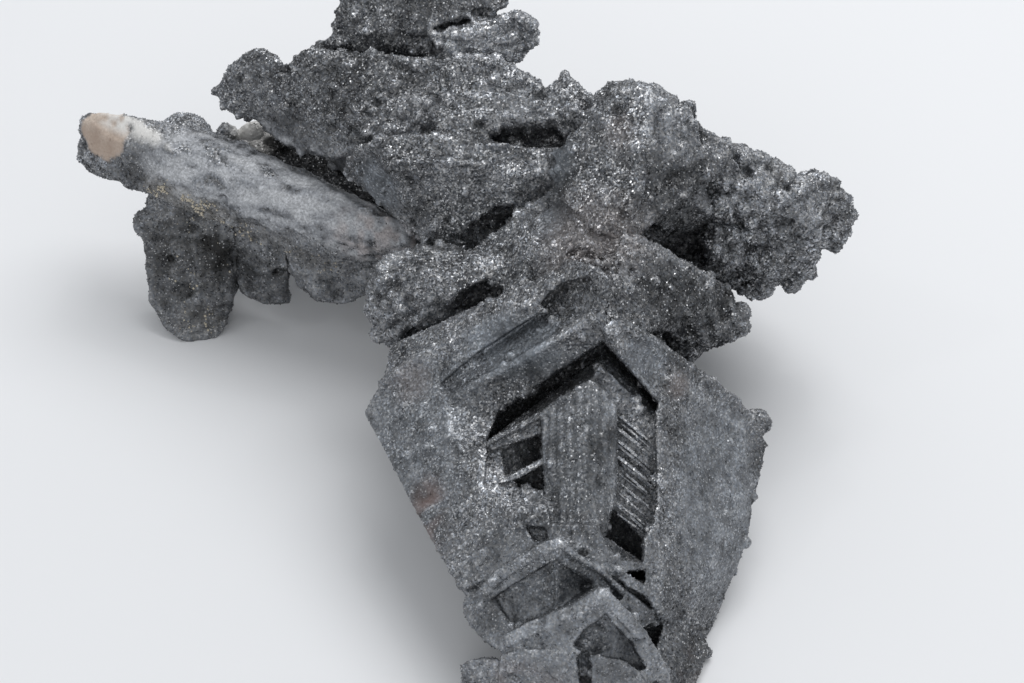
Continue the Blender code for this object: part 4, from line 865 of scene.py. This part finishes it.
def hematite_material(name, cell, tilt, rough_lo, rough_hi, gain, contrast):
    mat, tree, bsdf = nodes_of(name)
    co = N(tree, 'ShaderNodeTexCoord').outputs['Object']
    fine = noise_tex(tree, co, 0.5, 1.0)
    patch = attr(tree, 'patch')
    # crystal facets a few tenths of a millimetre across, each with its own tilt and a painted brightness for how light
    # catches it; the brightest cells are painted sparkle
    vor = N(tree, 'ShaderNodeTexVoronoi', feature='F1')
    L(tree, co, vor.inputs['Vector'])
    vor.inputs['Scale'].default_value = 1000.0 / cell
    rgb = N(tree, 'ShaderNodeSeparateColor')
    L(tree, vor.outputs['Color'], rgb.inputs[0])
    sleek = attr(tree, 'sleek')
    base = mixc(tree, rgb.outputs[2], scale_rgb((0.178, 0.191, 0.213, 1), gain), scale_rgb((0.22, 0.22, 0.222, 1), gain))
    base = mixc(tree, math2(tree, 'MULTIPLY', sleek, .5), base, scale_rgb((0.19, 0.215, 0.245, 1), gain))
    # painted facet brightness, up to 2.6 times for the brightest cells as painted sparkle
    curve = N(tree, 'ShaderNodeValToRGB')
    els = curve.color_ramp.elements
    els[0].position, els[0].color = 0.0, (.14, .14, .14, 1)
    els[1].position, els[1].color = 1.0, (1.0, 1.0, 1.0, 1)
    for pos, v in ((.35, .27), (.7, .42), (.88, .62)):
        e = els.new(pos)
        e.color = (v, v, v, 1)
    L(tree, rgb.outputs[0], curve.inputs[0])
    facet = math2(tree, 'MULTIPLY', curve.outputs[0], 2.6)
    facet = mixf(tree, math2(tree, 'MULTIPLY', math2(tree, 'MULTIPLY', ramp(tree, sleek, 0, 1, 1, .5), attr(tree, 'painted_sparkle_and_tilt')), contrast), 1.0, facet)
    shade = math2(tree, 'MULTIPLY', math2(tree, 'MULTIPLY', facet, attr(tree, 'tone_and_painted_light')), ramp(tree, fine, .3, .7, .78, 1.25))
    base = mixc(tree, 1.0, base, shade, 'MULTIPLY')
    # painted glints: small dots whitened in the base colour, with lower metallic and roughness
    painted_glint = math2(tree, 'MULTIPLY', ramp(tree, rgb.outputs[1], .89, .9), ramp(tree, sleek, 0, 1, 1.0, .3))
    painted_glint = math2(tree, 'MULTIPLY', painted_glint, ramp(tree, vor.outputs['Distance'], .4, .5, 1.0, 0.0))
    painted_glint = math2(tree, 'MULTIPLY', painted_glint, ramp(tree, patch, .3, .7, .5, 1.0))
    painted_glint = math2(tree, 'MULTIPLY', painted_glint, ramp(tree, attr(tree, 'painted_sparkle_and_tilt'), .25, .9, .25, 1.0))
    base = mixc(tree, math2(tree, 'MULTIPLY', painted_glint, .9), base, (0.9, 0.91, 0.94, 1))
    base = mixc(tree, ramp(tree, attr(tree, 'rosy'), 0, 1, 0, .5), base, (0.26, 0.225, 0.215, 1))
    grit = math2(tree, 'MULTIPLY', ramp(tree, rgb.outputs[0], 0, 1, .74, 1.24), ramp(tree, fine, .3, .7, .84, 1.14))
    dusty, pinky, creamy = attr(tree, 'dust'), attr(tree, 'pink'), attr(tree, 'cream')
    base = mixc(tree, math2(tree, 'MULTIPLY', dusty, .9), base, mixc(tree, 1.0, mixc(tree, patch, (0.27, 0.285, 0.315, 1), (0.49, 0.503, 0.527, 1)), grit, 'MULTIPLY'))
    base = mixc(tree, math2(tree, 'MULTIPLY', pinky, .85), base, mixc(tree, 1.0, (0.43, 0.395, 0.395, 1), grit, 'MULTIPLY'))
    base = mixc(tree, math2(tree, 'MULTIPLY', creamy, .12), base, (0.5, 0.45, 0.37, 1))
    stain = attr(tree, 'stain')
    base = mixc(tree, math2(tree, 'MULTIPLY', stain, .75), base, (0.165, 0.112, 0.10, 1))
    tan = attr(tree, 'tan')
    base = mixc(tree, tan, base, mixc(tree, math2(tree, 'MULTIPLY', patch, ramp(tree, fine, .3, .7, .6, 1.1)), (0.36, 0.27, 0.215, 1), (0.70, 0.61, 0.53, 1)))
    white = attr(tree, 'white')
    base = mixc(tree, white, base, (0.80, 0.79, 0.77, 1))
    L(tree, base, bsdf.inputs['Base Color'])
    matte = math2(tree, 'MAXIMUM', math2(tree, 'MAXIMUM', dusty, math2(tree, 'MAXIMUM', tan, white)), math2(tree, 'MAXIMUM', math2(tree, 'MAXIMUM', math2(tree, 'MULTIPLY', creamy, .12), stain), pinky))
    metal = math2(tree, 'MINIMUM', ramp(tree, matte, 0, 1, .7, .05), ramp(tree, painted_glint, 0, 1, 1, .45))
    L(tree, metal, bsdf.inputs['Metallic'])
    r = ramp(tree, fine, .3, .7, rough_lo, rough_hi)
    r = math2(tree, 'MINIMUM', r, ramp(tree, painted_glint, 0, 1, 1.0, .2))
    r = math2(tree, 'MAXIMUM', r, ramp(tree, matte, 0, 1, 0, .85))
    L(tree, r, bsdf.inputs['Roughness'])
    sub = N(tree, 'ShaderNodeVectorMath', operation='SUBTRACT')
    L(tree, vor.outputs['Color'], sub.inputs[0])
    sub.inputs[1].default_value = (.5, .5, .5)
    sc = N(tree, 'ShaderNodeVectorMath', operation='SCALE')
    L(tree, sub.outputs[0], sc.inputs[0])
    L(tree, math2(tree, 'MULTIPLY', math2(tree, 'MULTIPLY', ramp(tree, sleek, 0, 1, tilt, tilt * .35), ramp(tree, matte, 0, 1, 1, .3)), ramp(tree, attr(tree, 'painted_sparkle_and_tilt'), .25, .9, .45, 1.0)), sc.inputs['Scale'])
    geo = N(tree, 'ShaderNodeNewGeometry')
    addn = N(tree, 'ShaderNodeVectorMath', operation='ADD')
    L(tree, geo.outputs['Normal'], addn.inputs[0])
    L(tree, sc.outputs[0], addn.inputs[1])
    nrm = N(tree, 'ShaderNodeVectorMath', operation='NORMALIZE')
    L(tree, addn.outputs[0], nrm.inputs[0])
    bump = N(tree, 'ShaderNodeBump')
    bump.inputs['Distance'].default_value = 0.00025
    bump.inputs['Strength'].default_value = .6
    L(tree, noise_tex(tree, co, 0.8, 2.0, .65), bump.inputs['Height'])
    L(tree, nrm.outputs[0], bump.inputs['Normal'])
    L(tree, bump.outputs[0], bsdf.inputs['Normal'])
    return mat


def mixf(tree, fac, a, b):
    # a + (b - a) * fac
    return math2(tree, 'ADD', math2(tree, 'MULTIPLY', math2(tree, 'SUBTRACT', b, a), fac), a)


def scale_rgb(c, g):
    return (c[0] * g, c[1] * g, c[2] * g, 1)


MAT_BODY = hematite_material('hematite_body', .36, 1.0, .36, .56, 1.0, .85)
MAT_GRAIN = hematite_material('hematite_grain', .5, .4, .22, .42, 1.0, .5)


def crumb_material():
    mat, tree, bsdf = nodes_of('cream_crumbs')
    co = N(tree, 'ShaderNodeTexCoord').outputs['Object']
    L(tree, mixc(tree, noise_tex(tree, co, 1.2, 2.0), (0.42, 0.37, 0.28, 1), (0.74, 0.68, 0.57, 1)), bsdf.inputs['Base Color'])
    bsdf.inputs['Roughness'].default_value = .6
    return mat


MAT_CRUMB = crumb_material()


def finish_piece(ob, material, masks_from=None):
    """Masks as attributes, then into the row's frame in metres."""
    p, n = coords_of(ob.data)
    m = masks(p, n) if masks_from is None else masks_from
    for key, val in m.items():
        a = ob.data.attributes.new(key, 'FLOAT', 'POINT')
        a.data.foreach_set('value', val.astype(np.float32))
    q = (p - np.array((ORIGIN[0], ORIGIN[1], 0))) * 0.001
    ob.data.vertices.foreach_set('co', q.astype(np.float32).ravel())
    ob.data.update()
    ob.data.materials.clear()
    ob.data.materials.append(material)
    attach(ob, 'root')
    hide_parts('hematite_cluster')


# ---------------------------------------------------------------- druse
def tri_data(ob):
    me = ob.data
    me.calc_loop_triangles()
    t = np.empty(len(me.loop_triangles) * 3, np.int32)
    me.loop_triangles.foreach_get('vertices', t)
    t = t.reshape(-1, 3)
    co = coords_of(me)[0]
    a, b, c = co[t[:, 0]], co[t[:, 1]], co[t[:, 2]]
    nn = np.cross(b - a, c - a)
    area = np.linalg.norm(nn, axis=1) / 2
    nn /= np.maximum(np.linalg.norm(nn, axis=1, keepdims=True), 1e-9)
    return a, b, c, nn, area


TET_V = np.array([(0, 0, 1.0), (0.943, 0, -0.333), (-0.471, 0.816, -0.333), (-0.471, -0.816, -0.333)])
TET_F = np.array([(0, 1, 2), (0, 2, 3), (0, 3, 1), (1, 3, 2)])
OCT_V = np.array([(0, 0, 1.0), (1, 0, 0), (0, 1, 0), (-1, 0, 0), (0, -1, 0), (0, 0, -1.0)])
OCT_F = np.array([(0, 1, 2), (0, 2, 3), (0, 3, 4), (0, 4, 1), (5, 2, 1), (5, 3, 2), (5, 4, 3), (5, 1, 4)])


ground = {}


def survey(bodies):
    """The faces that carry grains, with their masks, worked out once."""
    if not ground:
        parts = [tri_data(ob) for ob in bodies]
        a, b, c, nn, area = (np.concatenate([q[i] for q in parts]) for i in range(5))
        cen = (a + b + c) / 3
        ground['all'] = a, b, c, nn, area, cen, masks(cen, nn), field_all.sample(cen)
    return ground['all']


def scatter(name, count, verts, faces, size, flatten, sink, seed, bodies, tilt=0.6, weight=None, where=None):
    rng = np.random.default_rng(seed)
    a, b, c, nn, area, cen, mk, deep = survey(bodies)
    w = area.copy()
    w *= (1 - 0.85 * mk['sleek']) * (1 - 0.55 * mk['soft']) * (1 - 0.9 * mk['dust']) * (1 - mk['tan'] * .95) * (1 - mk['white'] * .9)
    w *= smooth(0.4, 1.2, cen[:, 2])
    w *= deep > -2.2
    if where is not None:
        w *= where(cen, nn, mk)
    cum = np.cumsum(w)
    pick = np.searchsorted(cum, rng.random(count) * cum[-1])
    pick = np.clip(pick, 0, len(w) - 1)
    u, v = rng.random(count), rng.random(count)
    s_ = np.sqrt(u)
    pos = a[pick] * (1 - s_)[:, None] + b[pick] * (s_ * (1 - v))[:, None] + c[pick] * (s_ * v)[:, None]
    nor = nn[pick] + rng.normal(0, tilt, (count, 3))
    nor /= np.linalg.norm(nor, axis=1, keepdims=True)
    ref = np.where(np.abs(nor[:, 2:3]) < .9, np.array([[0, 0, 1.0]]), np.array([[1.0, 0, 0]]))
    x = np.cross(ref, nor)
    x /= np.linalg.norm(x, axis=1, keepdims=True)
    y = np.cross(nor, x)
    ang = rng.random(count) * 2 * np.pi
    ca, sa = np.cos(ang)[:, None], np.sin(ang)[:, None]
    x, y = x * ca + y * sa, y * ca - x * sa
    r = size[0] + (size[1] - size[0]) * rng.random(count) ** 1.8
    r = r * (1 - .4 * mk['sleek'][pick])
    V = verts * np.array((1, 1, flatten))
    pts = pos[:, None, :] + r[:, None, None] * (V[None, :, 0:1] * x[:, None, :] + V[None, :, 1:2] * y[:, None, :] + V[None, :, 2:3] * nor[:, None, :])
    pts += (nn[pick] * (sink * r)[:, None])[:, None, :]
    pts[:, :, 2] = np.maximum(pts[:, :, 2], 0.02)
    nv = len(verts)
    F = (faces[None] + (np.arange(count) * nv)[:, None, None]).reshape(-1, 3)
    ob = mesh_object(name, pts.reshape(-1, 3), [F])
    own = rng.random(count)
    own = np.where(own < .1, 2.3, np.where(own < .35, 1.35, .6 + .6 * rng.random(count)))
    rep = {key: np.repeat(val[pick] * (own if key == 'tone_and_painted_light' else 1), nv) for key, val in mk.items()}
    return ob, rep


bodies = [make_body(w) for w in ('rear', 'front', 'arm')]
plates = thin_plates()
print('bodies', [len(o.data.polygons) for o in bodies], 'plates', len(plates.data.polygons), round(time.time() - T0, 1))
n_g = 44000
druse = [scatter('druse_%d' % (i + 1), n_g, TET_V, TET_F, (0.13, 0.36), 1.0, .1, 100 + i, bodies + [plates]) for i in range(3)]
crumbs, crumb_rep = scatter('cream_crumbs', 330, OCT_V, OCT_F, (0.14, 0.4), .85, 
                            .15, 777, bodies + [plates], where=lambda cen, nn, mk: mk['cream'] ** 1.5 * smooth(-.2, .6, noise(cen, 2.6, 111)) * smooth(-.2, .3, nn[:, 2] - nn[:, 1] * .6))
for ob in bodies + [plates]:
    finish_piece(ob, MAT_BODY)
finish_piece(crumbs, MAT_CRUMB, crumb_rep)
for ob, rep in druse:
    finish_piece(ob, MAT_GRAIN, rep)
print('druse', round(time.time() - T0, 1))

# ---------------------------------------------------------------- stage
bpy.ops.mesh.primitive_plane_add(size=6.0, location=(0, 0, 0))
floor = bpy.context.object
floor.name = 'floor'
fm, ft, fb = nodes_of('floor_paper')
fb.inputs['Base Color'].default_value = (0.795, 0.805, 0.825, 1)
fb.inputs['Roughness'].default_value = .9
floor.data.materials.append(fm)

world = bpy.data.worlds.new('studio')
bpy.context.scene.world = world
world.use_nodes = True
world.node_tree.nodes['Background'].inputs[0].default_value = (0.96, 0.98, 1.0, 1)
world.node_tree.nodes['Background'].inputs[1].default_value = 0.54


def lamp(name, loc, aim, size, watts, colour=(1, 1, 1)):
    l = bpy.data.lights.new(name, 'AREA')
    l.shape = 'DISK'
    l.size, l.energy, l.color = size, watts, colour
    o = bpy.data.objects.new(name, l)
    o.location = loc
    o.rotation_euler = (Vector(aim) - Vector(loc)).to_track_quat('-Z', 'Y').to_euler()
    bpy.context.scene.collection.objects.link(o)
    return o


lamp('window', (0.25, 0.34, 0.93), (0, 0, .03), 0.8, 5.8)
lamp('front', (-0.1, -0.9, 0.6), (0, 0, .04), 0.6, 1.1)
lamp('glint_left', (-0.45, -0.15, 0.7), (0, 0, .04), 0.07, 0.12)
lamp('glint_back', (0.1, 0.4, 0.8), (0, 0, .04), 0.07, 0.2)

cam_data = bpy.data.cameras.new('camera')
cam = bpy.data.objects.new('camera', cam_data)
bpy.context.scene.collection.objects.link(cam)
cam_data.sensor_width = 36
cam_data.sensor_fit = 'HORIZONTAL'
cam_data.lens = STATION / 1024 * 36
cam_data.clip_start, cam_data.clip_end = 0.01, 20
cam.location = (EYE - np.array((ORIGIN[0], ORIGIN[1], 0))) * 0.001
cam.rotation_euler = (math.pi / 2 - LEAN, 0, 0)
bpy.context.scene.camera = cam
bpy.context.scene.view_settings.view_transform = 'Standard'

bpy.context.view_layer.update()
print('triangles', sum(len(o.data.loop_triangles) or len(o.data.polygons) for o in bpy.data.objects if o.type == 'MESH'), round(time.time() - T0, 1))
